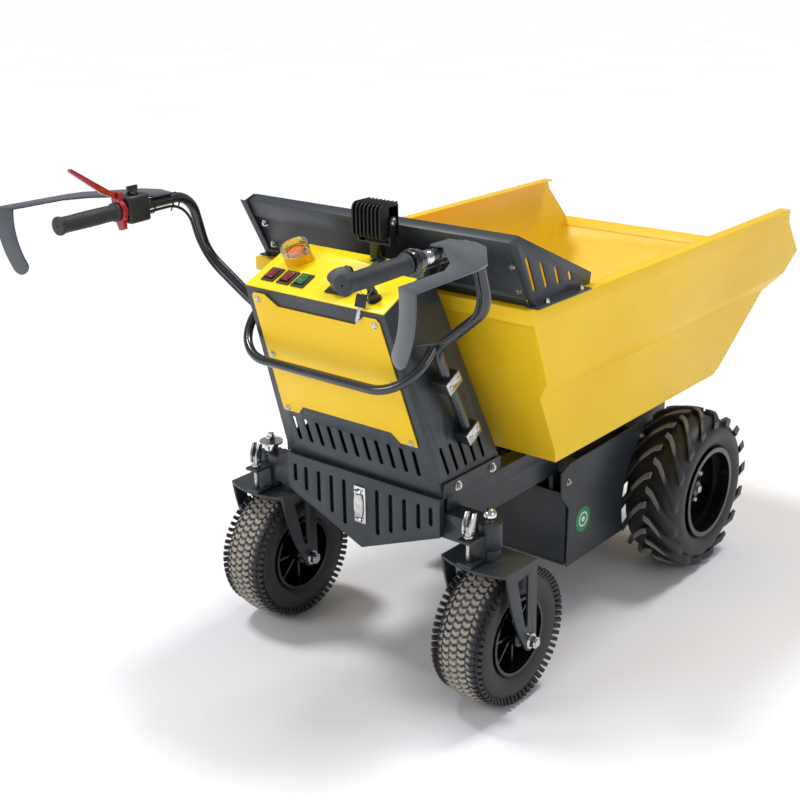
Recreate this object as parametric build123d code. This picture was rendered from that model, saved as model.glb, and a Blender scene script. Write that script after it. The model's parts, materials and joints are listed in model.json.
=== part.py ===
"""Battery power wheelbarrow: tipping tub, console, two driven wheels and two swivel casters.

Units are millimetres.  +Z is up, +Y is the dumping direction, +X is the machine's right side.
The origin lies on the ground under the middle of the machine.
"""
import os
from math import cos, radians, sin, tan

from build123d import *

# ---- driving dimensions -------------------------------------------------------------------
SHEET = 3.0                       # body sheet thickness
PLATE = 6.0                       # laser-cut plate thickness

CASTER_X = 317.0                  # caster centre from the middle plane
CASTER_Y = -372.0                 # caster wheel centre
SWIVEL_Y = -406.0                 # swivel axis of the caster
CASTER_R = 163.0                  # 13 x 5.00-6 tyre
CASTER_W = 128.0
CASTER_RIM_R = 86.0
FORK_TOP = 349.0                  # top face of the fork plate
FORK_HALF = 85.0                  # half width over the fork legs
BEAM_LOW = 372.0                  # swivel beam, lower and upper face
BEAM_HIGH = 430.0
HUB_R = 27.0
KING_PIN_R = 10.0

DRIVE_X = 313.0                   # drive wheel centre from the middle plane
DRIVE_Y = 462.0
DRIVE_R = 208.0                   # 16 x 6.50-8 tyre
DRIVE_W = 162.0
DRIVE_RIM_R = 114.0

RUNNING_FIT = 0.05                # radial play of a shaft or hinge pin
AXLE_R = 9.95

TUB_TOP = 880.0
TUB_BOTTOM = 494.0
HINGE_Y = 481.0                   # tub hinge axis
HINGE_Z = 445.0
HINGE_PIN_R = 10.0

CONSOLE_LOW = 471.0               # lower edge of the rear console face
CONSOLE_REAR_Y = -442.0
CONSOLE_LEAN = 0.33               # rearward lean of the rear face, per unit of height
CONSOLE_BOTTOM = 466.0            # lower edge of the console sides
CONSOLE_HALF_LOW = 222.6
CONSOLE_TAPER = 0.0794            # half-width lost per unit of height
PANEL_REAR = (-581.0, 893.0)      # rear edge of the control panel, (y, z)
PANEL_SLOPE = 24.0                # degrees
PANEL_LENGTH = 158.0

BAR_R = 11.0                      # handlebar tube
BAR_WALL = 2.0
GRIP_R = 16.5
LOOP_R = 10.0                     # push loop tube
CABLE_R = 3.0

APRON_Y = -451.0
LATCH_Z = 394.5                   # axis of the apron latch
SIDE_PLATE_X = 251.0

# ---- joint axes, repeated in the record ----------------------------------------------------
ACTUATOR_BASE = (0.0, 60.0, 205.0)
ACTUATOR_LUG = (0.0, 262.0, 466.0)

# ---- handlebar centre line, right side -------------------------------------------------------
BAR_POINTS = [(374, -890, 1047.2), (380, -549, 1055), (382, -509, 920), (238, -483, 805), (229, -352, 570)]
BAR_RADII = [60, 70, 60]


# ---- small helpers ----------------------------------------------------------------------------
def block(x0, x1, y0, y1, z0, z1):
    """Box between two corners."""
    middle = Pos((x0 + x1) / 2, (y0 + y1) / 2, (z0 + z1) / 2)
    return middle * Box(abs(x1 - x0), abs(y1 - y0), abs(z1 - z0))


def prism_x(points, x0, x1):
    """Outline in (y, z), extruded along X."""
    return extrude(Plane.YZ.offset(x0) * Polygon(*points, align=None), amount=x1 - x0, dir=(1, 0, 0))


def prism_y(points, y0, y1):
    """Outline in (x, z), extruded along Y."""
    plane = Plane(origin=(0, y0, 0), x_dir=(1, 0, 0), z_dir=(0, -1, 0))
    return extrude(plane * Polygon(*points, align=None), amount=y1 - y0, dir=(0, 1, 0))


def prism_z(points, z0, z1):
    """Outline in (x, y), extruded along Z."""
    return extrude(Plane.XY.offset(z0) * Polygon(*points, align=None), amount=z1 - z0, dir=(0, 0, 1))


def rod(start, end, radius):
    """Round bar between two points."""
    a = Vector(*start)
    b = Vector(*end)
    plane = Plane(origin=a, z_dir=b - a)
    return plane * Cylinder(radius, (b - a).length, align=(Align.CENTER, Align.CENTER, Align.MIN))


def disc(plane, radius, height, start=0.0):
    """Round disc standing on a plane."""
    return plane * Pos(0, 0, start) * Cylinder(radius, height, align=(Align.CENTER, Align.CENTER, Align.MIN))


def both_sides(shape):
    """A piece and its mirror image on the other side of the machine."""
    return [shape, mirror(shape, about=Plane.YZ)]


def group(shapes):
    """Separate solids kept in one node."""
    solids = []
    for shape in shapes:
        solids.extend(shape.solids())
    return Compound(children=solids)


def bent_tube(points, radii, radius, wall=0.0):
    """Tube along straight runs joined by arcs."""
    path = FilletPolyline(*points, radius=radii)
    plane = Plane(origin=path @ 0, z_dir=path % 0)
    section = Circle(radius)
    if wall:
        section -= Circle(radius - wall)
    return sweep(plane * section, path=path)


def turned(profile, x):
    """Ring turned about the wheel axle; the profile is (radius, offset along X)."""
    points = [(offset, radius) for radius, offset in profile]
    face = Plane.XZ * Polygon(*points, align=None)
    return Pos(x, 0, 0) * revolve(face, axis=Axis.X)


def hex_bolt(plane, size, height=5.0):
    """Washer, hexagon head and thread end of a fastener, standing on a plane."""
    washer = disc(plane, size * 1.35, 1.5)
    head = extrude(plane * Pos(0, 0, 1.5) * RegularPolygon(size, 6), amount=height)
    end = disc(plane, size * 0.5, 2.5, 1.5 + height)
    return washer + head + end


# ---- console frames -----------------------------------------------------------------------
def console_half(z):
    """Half-width of the console at a height."""
    return CONSOLE_HALF_LOW - CONSOLE_TAPER * (z - CONSOLE_LOW)


REAR_NORM = (1 + CONSOLE_LEAN ** 2) ** 0.5
REAR_FACE = Plane(
    origin=(0, CONSOLE_REAR_Y, CONSOLE_LOW),
    x_dir=(1, 0, 0),
    z_dir=(0, -1 / REAR_NORM, -CONSOLE_LEAN / REAR_NORM),
)
PANEL_FACE = Plane(
    origin=(0, PANEL_REAR[0], PANEL_REAR[1]),
    x_dir=(1, 0, 0),
    z_dir=(0, -sin(radians(PANEL_SLOPE)), cos(radians(PANEL_SLOPE))),
)
PANEL_THICK = 3.0


def on_panel(x, along, height=0.0):
    """Frame on the panel's top surface."""
    return PANEL_FACE * Pos(x, along, height)


def on_rear(x, along, height=0.0):
    """Frame on the console's rear face, measured up from its lower edge."""
    return REAR_FACE * Pos(x, along, height)


# ---- wheels ---------------------------------------------------------------------------------
def tyre(x, y, z, radius, width, bead):
    """Hollow tyre with a crowned tread and bulging side walls."""
    half = width / 2
    crown = radius - 7
    belly = bead + 0.55 * (radius - bead)
    wall = 9.0
    outer = (
        Line((half - 14, bead), (half - 4, bead + 7))
        + ThreePointArc((half - 4, bead + 7), (half, belly), (half - 9, crown))
        + ThreePointArc((half - 9, crown), (0, radius), (9 - half, crown))
        + ThreePointArc((9 - half, crown), (-half, belly), (4 - half, bead + 7))
        + Line((4 - half, bead + 7), (14 - half, bead))
        + Line((14 - half, bead), (half - 14, bead))
    )
    section = Plane.XZ * make_face(outer)
    body = revolve(section, axis=Axis.X)
    hollow_half = half - wall - 5
    hollow = [(bead - 1, hollow_half - 8), (bead + 16, hollow_half), (crown - 12, hollow_half)]
    hollow += [(crown - 4, hollow_half - 12)]
    hollow += [(r, -offset) for r, offset in reversed(hollow)]
    body -= turned(hollow, 0)
    return Pos(x, y, z) * body


def caster_rim():
    """Pressed rim with a ribbed web, turned about X at the origin."""
    half = CASTER_W / 2 - 14
    inner = CASTER_RIM_R - 4
    profile = [(inner, -half), (CASTER_RIM_R, -half), (CASTER_RIM_R, half), (inner, half)]
    barrel = turned(profile, 0)
    edge = CASTER_RIM_R + 3
    bead = [(inner, half), (CASTER_RIM_R, half), (edge, half + 4.5), (edge, half + 6.5), (inner, half + 6.5)]
    lip = turned(bead, 0)
    lips = lip + mirror(lip, about=Plane.YZ)
    web = turned([(20, -3), (inner + 1, -3), (inner + 1, 3), (20, 3)], 0)
    hub = turned([(AXLE_R + RUNNING_FIT, -60), (22, -60), (22, 60), (AXLE_R + RUNNING_FIT, 60)], 0)
    rim = barrel + lips + web + hub
    for turn in range(8):
        rib = Pos(0, 0, (22 + inner) / 2) * Box(2 * half - 24, 5, inner - 21)
        rim += Rot(turn * 45, 0, 0) * rib
    bore = Rot(0, 90, 0) * Cylinder(AXLE_R + RUNNING_FIT, 140)
    return rim - bore


def drive_rim():
    """Deep stepped rim with an output shaft seat and five wheel nuts; outer side is +X."""
    half = DRIVE_W / 2 - 14
    inner = DRIVE_RIM_R - 5
    barrel = turned([(inner, -half), (DRIVE_RIM_R, -half), (DRIVE_RIM_R, half), (inner, half)], 0)
    edge = DRIVE_RIM_R + 4
    bead = [(inner, half), (DRIVE_RIM_R, half), (edge, half + 6), (edge, half + 9), (inner - 3, half + 9)]
    lip = turned(bead, 0)
    step = turned([(inner - 14, 30), (inner + 1, 30), (inner + 1, 36), (inner - 14, 36)], 0)
    cone = turned([(inner - 14, 4), (inner - 8, 4), (inner - 8, 36), (inner - 14, 36)], 0)
    web = turned([(30, -2), (inner - 8, -2), (inner - 8, 4), (30, 4)], 0)
    hub = turned([(12.5, -30), (36, -30), (36, 16), (12.5, 16)], 0)
    rim = barrel + lip + mirror(lip, about=Plane.YZ) + step + cone + web + hub
    nuts = []
    for turn in range(5):
        seat = Rot(turn * 72, 0, 0) * Plane(origin=(4, 0, 60), z_dir=(1, 0, 0))
        nuts.append(hex_bolt(seat, 9, 9))
    shaft = rod((-98, 0, 0), (30, 0, 0), 12.5)
    cap = rod((30, 0, 0), (38, 0, 0), 20)
    return group([rim, shaft + cap] + nuts)


def caster_fork():
    """Folded fork: top plate with a rear lobe, two legs with a window, and the king pin."""
    front = CASTER_Y + 20
    rear = -461.0
    lobe = (
        Line((-FORK_HALF, front), (-FORK_HALF, rear))
        + ThreePointArc((-FORK_HALF, rear), (0, rear - 20), (FORK_HALF, rear))
        + Line((FORK_HALF, rear), (FORK_HALF, front))
        + Line((FORK_HALF, front), (-FORK_HALF, front))
    )
    top = extrude(Plane.XY.offset(FORK_TOP - PLATE) * make_face(lobe), amount=PLATE, dir=(0, 0, 1))
    eye = 22.0
    axle = (CASTER_Y, CASTER_R)
    outline = (
        Line((front, FORK_TOP - 1), (front, CASTER_R))
        + ThreePointArc((front, CASTER_R), (axle[0], CASTER_R - eye), (axle[0] - eye + 1, CASTER_R - 6))
        + ThreePointArc((axle[0] - eye + 1, CASTER_R - 6), (-438, 250), (rear, FORK_TOP - 1))
        + Line((rear, FORK_TOP - 1), (front, FORK_TOP - 1))
    )
    leg = extrude(Plane.YZ.offset(FORK_HALF - PLATE) * make_face(outline), amount=PLATE, dir=(1, 0, 0))
    leg -= prism_x([(-424, 322), (-385, 326), (-385, 205), (-394, 205)], FORK_HALF - 8, FORK_HALF + 2)
    hole = Pos(0, CASTER_Y, CASTER_R) * Rot(0, 90, 0) * Cylinder(AXLE_R, 200)
    king_pin = rod((0, SWIVEL_Y, FORK_TOP - 1), (0, SWIVEL_Y, BEAM_HIGH + 1), KING_PIN_R - RUNNING_FIT)
    washer = rod((0, SWIVEL_Y, FORK_TOP - 1), (0, SWIVEL_Y, BEAM_LOW - 0.3), 24)
    return top + leg + mirror(leg, about=Plane.YZ) + king_pin + washer - hole


def caster_hardware(nut_side, domed):
    """Axle bolt with its spacers, and the fastening on top of the king pin."""
    reach = FORK_HALF
    axle = rod((-reach, CASTER_Y, CASTER_R), (reach, CASTER_Y, CASTER_R), AXLE_R)
    for side in (-1, 1):
        axle += rod((side * 61, CASTER_Y, CASTER_R), (side * (reach - PLATE), CASTER_Y, CASTER_R), 15)
    nut_plane = Plane(origin=(nut_side * reach, CASTER_Y, CASTER_R), z_dir=(nut_side, 0, 0))
    axle += disc(nut_plane, 17, 2.5)
    axle += extrude(nut_plane * Pos(0, 0, 2.5) * RegularPolygon(14, 6), amount=12)
    axle += disc(nut_plane, 8.5, 4, 14)
    head_plane = Plane(origin=(-nut_side * reach, CASTER_Y, CASTER_R), z_dir=(-nut_side, 0, 0))
    axle += disc(head_plane, 17, 12)
    base = Plane.XY.offset(BEAM_HIGH + 1)
    place = Pos(0, SWIVEL_Y, 0)
    if domed:
        cap = disc(base, 12, 6) + Pos(0, 0, BEAM_HIGH + 15) * Sphere(15)
        cap -= block(-30, 30, -30, 30, BEAM_HIGH - 20, BEAM_HIGH + 1)
    else:
        cap = disc(base, 17, 20) + disc(base, 28, 4, 20)
        cap += extrude(base * Pos(0, 0, 24) * RegularPolygon(12, 6), amount=11)
        cap += disc(base, 7, 9, 34)
    return group([axle, place * cap])


def lock_pin():
    """Sprung swivel lock: steel pin, collar and fork-shaped pull handle, clear of the fork plate."""
    x = 308.0 - CASTER_X
    y = -468.0
    pin = rod((x, y, FORK_TOP + 2), (x, y, 438), 5.5)
    pin += rod((x, y, 412), (x, y, 418), 10)
    pin += rod((x, y, 417), (x, y, 425), 7)
    cheek = prism_x([(y - 8, 422), (y + 8, 422), (y + 14, 466), (y + 4, 468), (y - 7, 445)], x - 11, x - 7)
    cheeks = cheek + Pos(18, 0, 0) * cheek
    bolt = rod((x - 13, y, 431), (x + 13, y, 431), 3)
    return pin + cheeks + bolt


# ---- chassis ---------------------------------------------------------------------------------
def box_tube_y(x0, x1, y0, y1, z0, z1, wall=4.0):
    """Rectangular tube running along Y."""
    inner = block(x0 + wall, x1 - wall, y0 - 1, y1 + 1, z0 + wall, z1 - wall)
    return block(x0, x1, y0, y1, z0, z1) - inner


def chassis_frame():
    """Welded ladder frame with the console rails, hinge lugs, battery tray and actuator lug."""
    frame = Part()
    for rail in both_sides(box_tube_y(175, 215, -433, 520, BEAM_LOW, BEAM_HIGH)):
        frame += rail
    for rail in both_sides(box_tube_y(182, 222, -425, -2, BEAM_HIGH, 464.5)):
        frame += rail
    for y in (-430, 285, 480):
        frame += block(-180, 180, y, y + 40, BEAM_LOW + 4, BEAM_HIGH - 4)
    frame += block(-246, 246, -5, 240, 142, 147)
    for hanger in both_sides(block(196, 208, 0, 236, 147, BEAM_LOW + 1)):
        frame += hanger
    frame += block(-30, 30, 30, 36, 147, 190)
    for lug in both_sides(prism_x([(30, 147), (90, 147), (72, 222), (48, 222)], 26, 32)):
        frame += lug
    for mount in both_sides(block(214, SIDE_PLATE_X, 8, 40, 376, 404)):
        frame += mount
    for mount in both_sides(block(214, SIDE_PLATE_X, 300, 335, 376, 404)):
        frame += mount
    foot = [(HINGE_Y - 26, 420), (HINGE_Y + 26, 420)]
    ear = prism_x(foot + [(HINGE_Y + 20, HINGE_Z), (HINGE_Y - 20, HINGE_Z)], 198, 212)
    ear += rod((198, HINGE_Y, HINGE_Z), (212, HINGE_Y, HINGE_Z), 20)
    for lug in both_sides(ear):
        frame += lug
    for hanger in both_sides(block(176, 214, DRIVE_Y - 45, DRIVE_Y + 45, 250, BEAM_LOW + 1)):
        frame += hanger
    frame -= rod((-240, HINGE_Y, HINGE_Z), (240, HINGE_Y, HINGE_Z), HINGE_PIN_R + RUNNING_FIT)
    frame -= rod((-40, ACTUATOR_BASE[1], ACTUATOR_BASE[2]), (40, ACTUATOR_BASE[1], ACTUATOR_BASE[2]), 8)
    frame -= rod((-230, DRIVE_Y, DRIVE_R), (230, DRIVE_Y, DRIVE_R), 44)
    return frame


def swivel_beams():
    """Caster beams with round hubs, and the channel brackets that guide the lock pins."""
    beam = box_tube_y(-27, 27, -CASTER_X + 15, -215, BEAM_LOW, BEAM_HIGH)
    beam = Rot(0, 0, 90) * beam
    beam = Pos(0, SWIVEL_Y, 0) * beam
    hub = rod((CASTER_X, SWIVEL_Y, BEAM_LOW), (CASTER_X, SWIVEL_Y, BEAM_HIGH), HUB_R)
    bore = rod((CASTER_X, SWIVEL_Y, BEAM_LOW - 5), (CASTER_X, SWIVEL_Y, BEAM_HIGH + 5), KING_PIN_R)
    gland = rod((CASTER_X, SWIVEL_Y, BEAM_LOW), (CASTER_X, SWIVEL_Y, BEAM_HIGH), HUB_R - 2)
    arm = beam - gland + hub - bore
    bracket = block(290, 326, -440, -431, 352, 410)
    for z in (352, 404):
        bracket += block(290, 326, -484, -436, z, z + 6)
    bracket -= rod((308, -468, 340), (308, -468, 420), 6.0)
    bracket -= rod((CASTER_X, SWIVEL_Y, 340), (CASTER_X, SWIVEL_Y, 420), HUB_R - 1)
    return group(both_sides(arm) + both_sides(bracket - arm))


def rear_apron():
    """Slotted V-shaped apron with a folded top and folded ends."""
    half = 220.6
    outline = [(-half, 465.5), (half, 465.5), (half, 379), (0, 290.5), (-half, 379)]
    plate = prism_y(outline, APRON_Y, APRON_Y + SHEET)
    slots = [(47.9, 334.5), (86.0, 351.3), (124.4, 367.9), (163.2, 384.3), (196.5, 399.9)]
    for x, low in slots:
        for side in (-1, 1):
            middle = Plane(origin=(side * x, APRON_Y, (442.3 + low) / 2), x_dir=(0, 0, 1), z_dir=(0, 1, 0))
            plate -= extrude(middle * SlotOverall(442.3 - low, 11), amount=10, both=True)
    plate -= rod((0, APRON_Y - 10, LATCH_Z), (0, APRON_Y + 10, LATCH_Z), 5 + RUNNING_FIT)
    plate += block(-half, half, APRON_Y, -427, 465.5 - SHEET, 465.5)
    for end in both_sides(block(half - SHEET, half, APRON_Y, -435, 379, 465.5)):
        plate += end
    return plate


def side_plates():
    """Outer side plates with a wheel-arch cut at the front end."""
    outline = [(-5, 140), (346, 140), (346, 413), (1, 408), (-37, 394), (-34, 330), (-1, 292)]
    plate = prism_x(outline, SIDE_PLATE_X, SIDE_PLATE_X + 4)
    plate -= rod((200, DRIVE_Y, DRIVE_R), (300, DRIVE_Y, DRIVE_R), DRIVE_R + 6)
    return group(both_sides(plate))


def battery_pack():
    """Two battery cases beside the actuator, and their flanged rear cover."""
    case = block(45, 190, 96, 236, 147.3, 329)
    case = chamfer(case.edges().filter_by(Axis.X), 6)
    flange = block(-247, 247, -5, -2, 148, 329)
    for wing in both_sides(block(247 - SHEET, 247, -5, 22, 148, 329)):
        flange += wing
    return group(both_sides(case) + [flange])


def motor_controller():
    """Finned motor controller behind the battery cover."""
    body = block(-170, -60, 8, 88, 150, 215)
    for fin in range(7):
        body += block(-166 + 16 * fin, -162 + 16 * fin, 10, 86, 215, 233)
    return body


def transaxle():
    """Differential housing with two axle tubes and the drive motor on its rear side."""
    housing = rod((-55, DRIVE_Y, DRIVE_R), (55, DRIVE_Y, DRIVE_R), 82)
    tubes = rod((-214, DRIVE_Y, DRIVE_R), (214, DRIVE_Y, DRIVE_R), 32)
    for side in (-1, 1):
        tubes += rod((side * 176, DRIVE_Y, DRIVE_R), (side * 188, DRIVE_Y, DRIVE_R), 44)
    neck = rod((0, DRIVE_Y - 60, DRIVE_R + 6), (0, DRIVE_Y - 110, DRIVE_R + 6), 40)
    bore = rod((-260, DRIVE_Y, DRIVE_R), (260, DRIVE_Y, DRIVE_R), 12.5 + RUNNING_FIT)
    gearbox = housing + tubes + neck - bore
    motor = rod((0, DRIVE_Y - 110, DRIVE_R + 6), (0, 262, DRIVE_R + 6), 62)
    motor += rod((0, 262, DRIVE_R + 6), (0, 256, DRIVE_R + 6), 30)
    return group([gearbox, motor])


def tub_rest_pads():
    """Rubber pads on the rails that carry the lowered tub."""
    pads = []
    for y, rail_top in ((-90, 464.5), (200, BEAM_HIGH)):
        pads += both_sides(rod((200, y, rail_top), (200, y, TUB_BOTTOM - 0.4), 14))
    return group(pads)


def chassis_bolts():
    """Visible zinc-plated fasteners of the chassis and console."""
    bolts = []
    for y, z in ((-9, 364), (330, 374)):
        bolts += both_sides(hex_bolt(Plane(origin=(SIDE_PLATE_X + 4, y, z), z_dir=(1, 0, 0)), 6, 4))
    for y in (-397, -275):
        bolts += both_sides(hex_bolt(Plane(origin=(227.1, y, 483), z_dir=(1, 0, 0)), 8, 5))
    for x, along in ((161, 415), (168, 276), (175.5, 130)):
        for side in (-1, 1):
            seat = on_rear(side * x, along, COVER_GAP + COVER_THICK)
            head = seat * Cylinder(7.5, 2, align=(Align.CENTER, Align.CENTER, Align.MIN))
            head += seat * Pos(0, 0, 2) * Cone(6.5, 3.5, 2.5, align=(Align.CENTER, Align.CENTER, Align.MIN))
            bolts.append(head)
    return group(bolts)


# ---- tub ----------------------------------------------------------------------------------
TUB_SECTION = [(335, 494), (335, 660), (365, 702), (375, 860), (375, 905)]
TUB_REAR = [(-370, 905), (-358, 880), (-196, 526), (-190, 494)]
TUB_FRONT = [(543, 494), (573, 507), (928, 750), (841, 848), (815, 905)]
LIP_SLOPE = (750 - 507) / (928 - 573)


def mirrored_outline(points):
    """Closed outline from its right half."""
    return points + [(-x, z) for x, z in reversed(points)]


def tub_outside():
    """Tub outline seen from the side."""
    return TUB_REAR + TUB_FRONT


def tub_inside():
    """The same outline one sheet further in, open over the dump lip."""
    lean = 1.1 * SHEET
    rear = [(y + lean, z) for y, z in TUB_REAR[:-1]] + [(TUB_REAR[-1][0] + lean, TUB_BOTTOM + SHEET)]
    knee = (TUB_FRONT[1][0] - 0.5 * SHEET, TUB_FRONT[1][1] + 0.87 * SHEET)
    far = 1000.0
    tip = (far, knee[1] + LIP_SLOPE * (far - knee[0]))
    nose = [(TUB_FRONT[0][0], TUB_BOTTOM + SHEET), knee, tip, (far, 905)]
    return rear + nose


def tub():
    """Folded tub with creased sides, a sloping dump lip, a rolled rim and hinge lugs."""
    profile = prism_y(mirrored_outline(TUB_SECTION), -400, 1000)
    shell = profile & prism_x(tub_outside(), -400, 400)
    inner = [(x - SHEET, z) for x, z in TUB_SECTION]
    inner[0] = (TUB_SECTION[0][0] - SHEET, TUB_BOTTOM + SHEET)
    inner.append((TUB_SECTION[-1][0] - SHEET, 930))
    cavity = prism_y(mirrored_outline(inner), -400, 1010)
    cavity &= prism_x(tub_inside(), -400, 400)
    shell -= cavity
    shell -= block(-500, 500, -500, 1100, TUB_TOP, 1000)
    nose_cut = prism_x([(827, 881), (841, 848), (928, 750), (1000, 750), (1000, 900), (827, 900)], -400, 400)
    lip = block(374, 382, -362, 827, 850, TUB_TOP) + block(354, 382, -362, 827, TUB_TOP - SHEET, TUB_TOP)
    for side in both_sides(lip - nose_cut):
        shell += side
    shell += block(-382, 382, -362, -332, TUB_TOP - SHEET, TUB_TOP)
    shell += block(-382, 382, -362, -359, 850, TUB_TOP)
    shell += front_hem()
    ear_top = [(HINGE_Y - 60, TUB_BOTTOM + 1), (HINGE_Y + 50, TUB_BOTTOM + 1)]
    ear = prism_x(ear_top + [(HINGE_Y + 20, HINGE_Z), (HINGE_Y - 20, HINGE_Z)], 216, 224)
    ear += rod((216, HINGE_Y, HINGE_Z), (224, HINGE_Y, HINGE_Z), 20)
    ear -= rod((200, HINGE_Y, HINGE_Z), (240, HINGE_Y, HINGE_Z), HINGE_PIN_R)
    for lug in both_sides(ear):
        shell += lug
    lug_y, lug_z = ACTUATOR_LUG[1], ACTUATOR_LUG[2]
    lug_top = [(lug_y - 34, TUB_BOTTOM + 1), (lug_y + 34, TUB_BOTTOM + 1)]
    lug = prism_x(lug_top + [(lug_y + 13, lug_z), (lug_y - 13, lug_z)], -6, 6)
    lug += rod((-6, lug_y, lug_z), (6, lug_y, lug_z), 13)
    lug -= rod((-10, lug_y, lug_z), (10, lug_y, lug_z), 6)
    for x in (-150, 150):
        shell += block(x - 20, x + 20, -150, 420, 480, TUB_BOTTOM + 1)
    return shell + lug


def front_hem():
    """Doubled edge along the dump lip."""
    low = [(898, 750 - 30 * LIP_SLOPE), (928, 750), (926, 754), (896, 754 - 30 * LIP_SLOPE)]
    return prism_x(low, -362, 362)


HEAD_LOW = (-338.0, 880.3)
HEAD_TOP = (-402.0, 1020.0)


def headboard():
    """Sheet guard behind the operator side of the tub: folded foot, recessed panel, top flange."""
    lean = (HEAD_TOP[0] - HEAD_LOW[0]) / (HEAD_TOP[1] - HEAD_LOW[1])

    def at(z, out=0.0):
        return (HEAD_LOW[0] + lean * (z - HEAD_LOW[1]) - out, z)

    low = HEAD_LOW[1]
    outline = [at(low), at(low + 16), at(low + 22, -8), at(975, -8), at(984), at(1020)]
    outline += [(-376, 1031), (-375, 1028)]
    outline += [at(1017.5, -SHEET - 0.5), at(986, -SHEET), at(978, -8 - SHEET), at(low + 20, -8 - SHEET)]
    outline += [at(low + 14, -SHEET), at(low + SHEET, -SHEET), at(low + SHEET, -26), at(low, -26)]
    return prism_x(outline, -354, 354)


WING_X = 355.5


def headboard_wings():
    """Slotted triangular wings with a bolted foot and a folded top edge."""
    outline = [(-409, 1021), (-380, 1031), (-110, 904), (-114, 880.3), (-334, 880.3)]
    wing = prism_x(outline, WING_X, WING_X + SHEET)
    slots = [(-362, 983, -330, 909), (-311, 963, -287, 907), (-259, 945, -243, 905), (-207, 925, -198, 903)]
    for y0, z0, y1, z1 in slots:
        length = ((y1 - y0) ** 2 + (z1 - z0) ** 2) ** 0.5
        middle = Plane(
            origin=(WING_X, (y0 + y1) / 2 + 10, (z0 + z1) / 2),
            x_dir=(0, (y1 - y0) / length, (z1 - z0) / length),
            z_dir=(1, 0, 0),
        )
        wing -= extrude(middle * SlotOverall(length, 9), amount=12, both=True)
    wing += block(WING_X, 386, -345, -150, 880.3, 880.3 + SHEET)
    fold = [(-372, 1027.2), (-110, 904), (-111.5, 901), (-373.5, 1024.2)]
    wing += prism_x(fold, WING_X - 14, WING_X + SHEET)
    rear = [(-409, 1021), (-334, 880.3), (-331, 881.5), (-406, 1020)]
    wing += prism_x(rear, WING_X, WING_X + 18)
    return group(both_sides(wing))


def tub_bolts():
    """Hinge pins, and the fasteners of the headboard and its wings."""
    pieces = both_sides(rod((196, HINGE_Y, HINGE_Z), (224, HINGE_Y, HINGE_Z), HINGE_PIN_R))
    heads = []
    for pin in both_sides(rod((224, HINGE_Y, HINGE_Z), (229, HINGE_Y, HINGE_Z), 15)):
        heads.append(pin)
    pieces = [pieces[0] + heads[0], pieces[1] + heads[1]]
    for y in (-297, -171):
        pieces += both_sides(hex_bolt(Plane(origin=(372, y, 880.3 + SHEET), z_dir=(0, 0, 1)), 7, 5))
    lean = (HEAD_TOP[0] - HEAD_LOW[0]) / (HEAD_TOP[1] - HEAD_LOW[1])
    for z in (912, 965):
        y = HEAD_LOW[0] + lean * (z - HEAD_LOW[1]) + 8
        normal = (0, -1, lean)
        pieces += both_sides(hex_bolt(Plane(origin=(338, y, z), z_dir=normal), 6, 4))
    return group(pieces)


# ---- tipping actuator -----------------------------------------------------------------------
def actuator_frame(along):
    """Frame on the actuator axis at a distance from its base pivot."""
    a = Vector(*ACTUATOR_BASE)
    b = Vector(*ACTUATOR_LUG)
    direction = (b - a).normalized()
    return Plane(origin=a + direction * along, x_dir=(1, 0, 0), z_dir=direction)


ACTUATOR_LENGTH = (Vector(*ACTUATOR_LUG) - Vector(*ACTUATOR_BASE)).length


def actuator_body():
    """Cylinder body with its gear motor and base eye."""
    eye = rod((-20, ACTUATOR_BASE[1], ACTUATOR_BASE[2]), (20, ACTUATOR_BASE[1], ACTUATOR_BASE[2]), 14)
    pin = rod((-36, ACTUATOR_BASE[1], ACTUATOR_BASE[2]), (36, ACTUATOR_BASE[1], ACTUATOR_BASE[2]), 7.95)
    barrel = disc(actuator_frame(10), 24, 280)
    motor = disc(actuator_frame(22) * Pos(0, -44, 0), 21, 108)
    link = actuator_frame(24) * Pos(0, -22, 9) * Box(30, 46, 18)
    bore = disc(actuator_frame(32), 13 + RUNNING_FIT, 300)
    return group([eye + barrel + motor + link - bore + pin])


def actuator_rod():
    """Chromed rod with a fork end that straddles the tub lug."""
    shaft = disc(actuator_frame(36), 13, ACTUATOR_LENGTH - 36 - 34)
    yoke = actuator_frame(ACTUATOR_LENGTH - 29) * Box(34, 32, 12)
    for side in (-1, 1):
        yoke += actuator_frame(ACTUATOR_LENGTH - 10) * Pos(side * 13.5, 0, 0) * Box(7, 28, 46)
    return shaft + yoke


# ---- console --------------------------------------------------------------------------------
CONSOLE_SHEET = 2.5
COVER_GAP = 1.0
COVER_THICK = 2.5


def panel_end():
    """Front edge of the control panel, (y, z)."""
    y = PANEL_REAR[0] + PANEL_LENGTH * cos(radians(PANEL_SLOPE))
    z = PANEL_REAR[1] + PANEL_LENGTH * sin(radians(PANEL_SLOPE))
    return (y, z)


def console_solid(inset):
    """Console wedge, moved inwards by an inset."""
    drop = PANEL_THICK / cos(radians(PANEL_SLOPE))
    end_y, end_z = panel_end()
    bottom = CONSOLE_BOTTOM
    rear_low = CONSOLE_REAR_Y - CONSOLE_LEAN * (bottom - CONSOLE_LOW) + inset * REAR_NORM
    rear_high = CONSOLE_REAR_Y - CONSOLE_LEAN * (PANEL_REAR[1] - drop - CONSOLE_LOW) + inset * REAR_NORM
    side = [
        (rear_low, bottom),
        (rear_high, PANEL_REAR[1] - drop - inset),
        (end_y - inset, end_z - drop - inset),
        (-242 - inset, 502),
        (-242 - inset, bottom),
    ]
    low = console_half(bottom) - inset
    high = console_half(960) - inset
    wedge = prism_x(side, -300, 300)
    return wedge & prism_y([(-low, bottom), (low, bottom), (high, 960), (-high, 960)], -700, -200)


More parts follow.
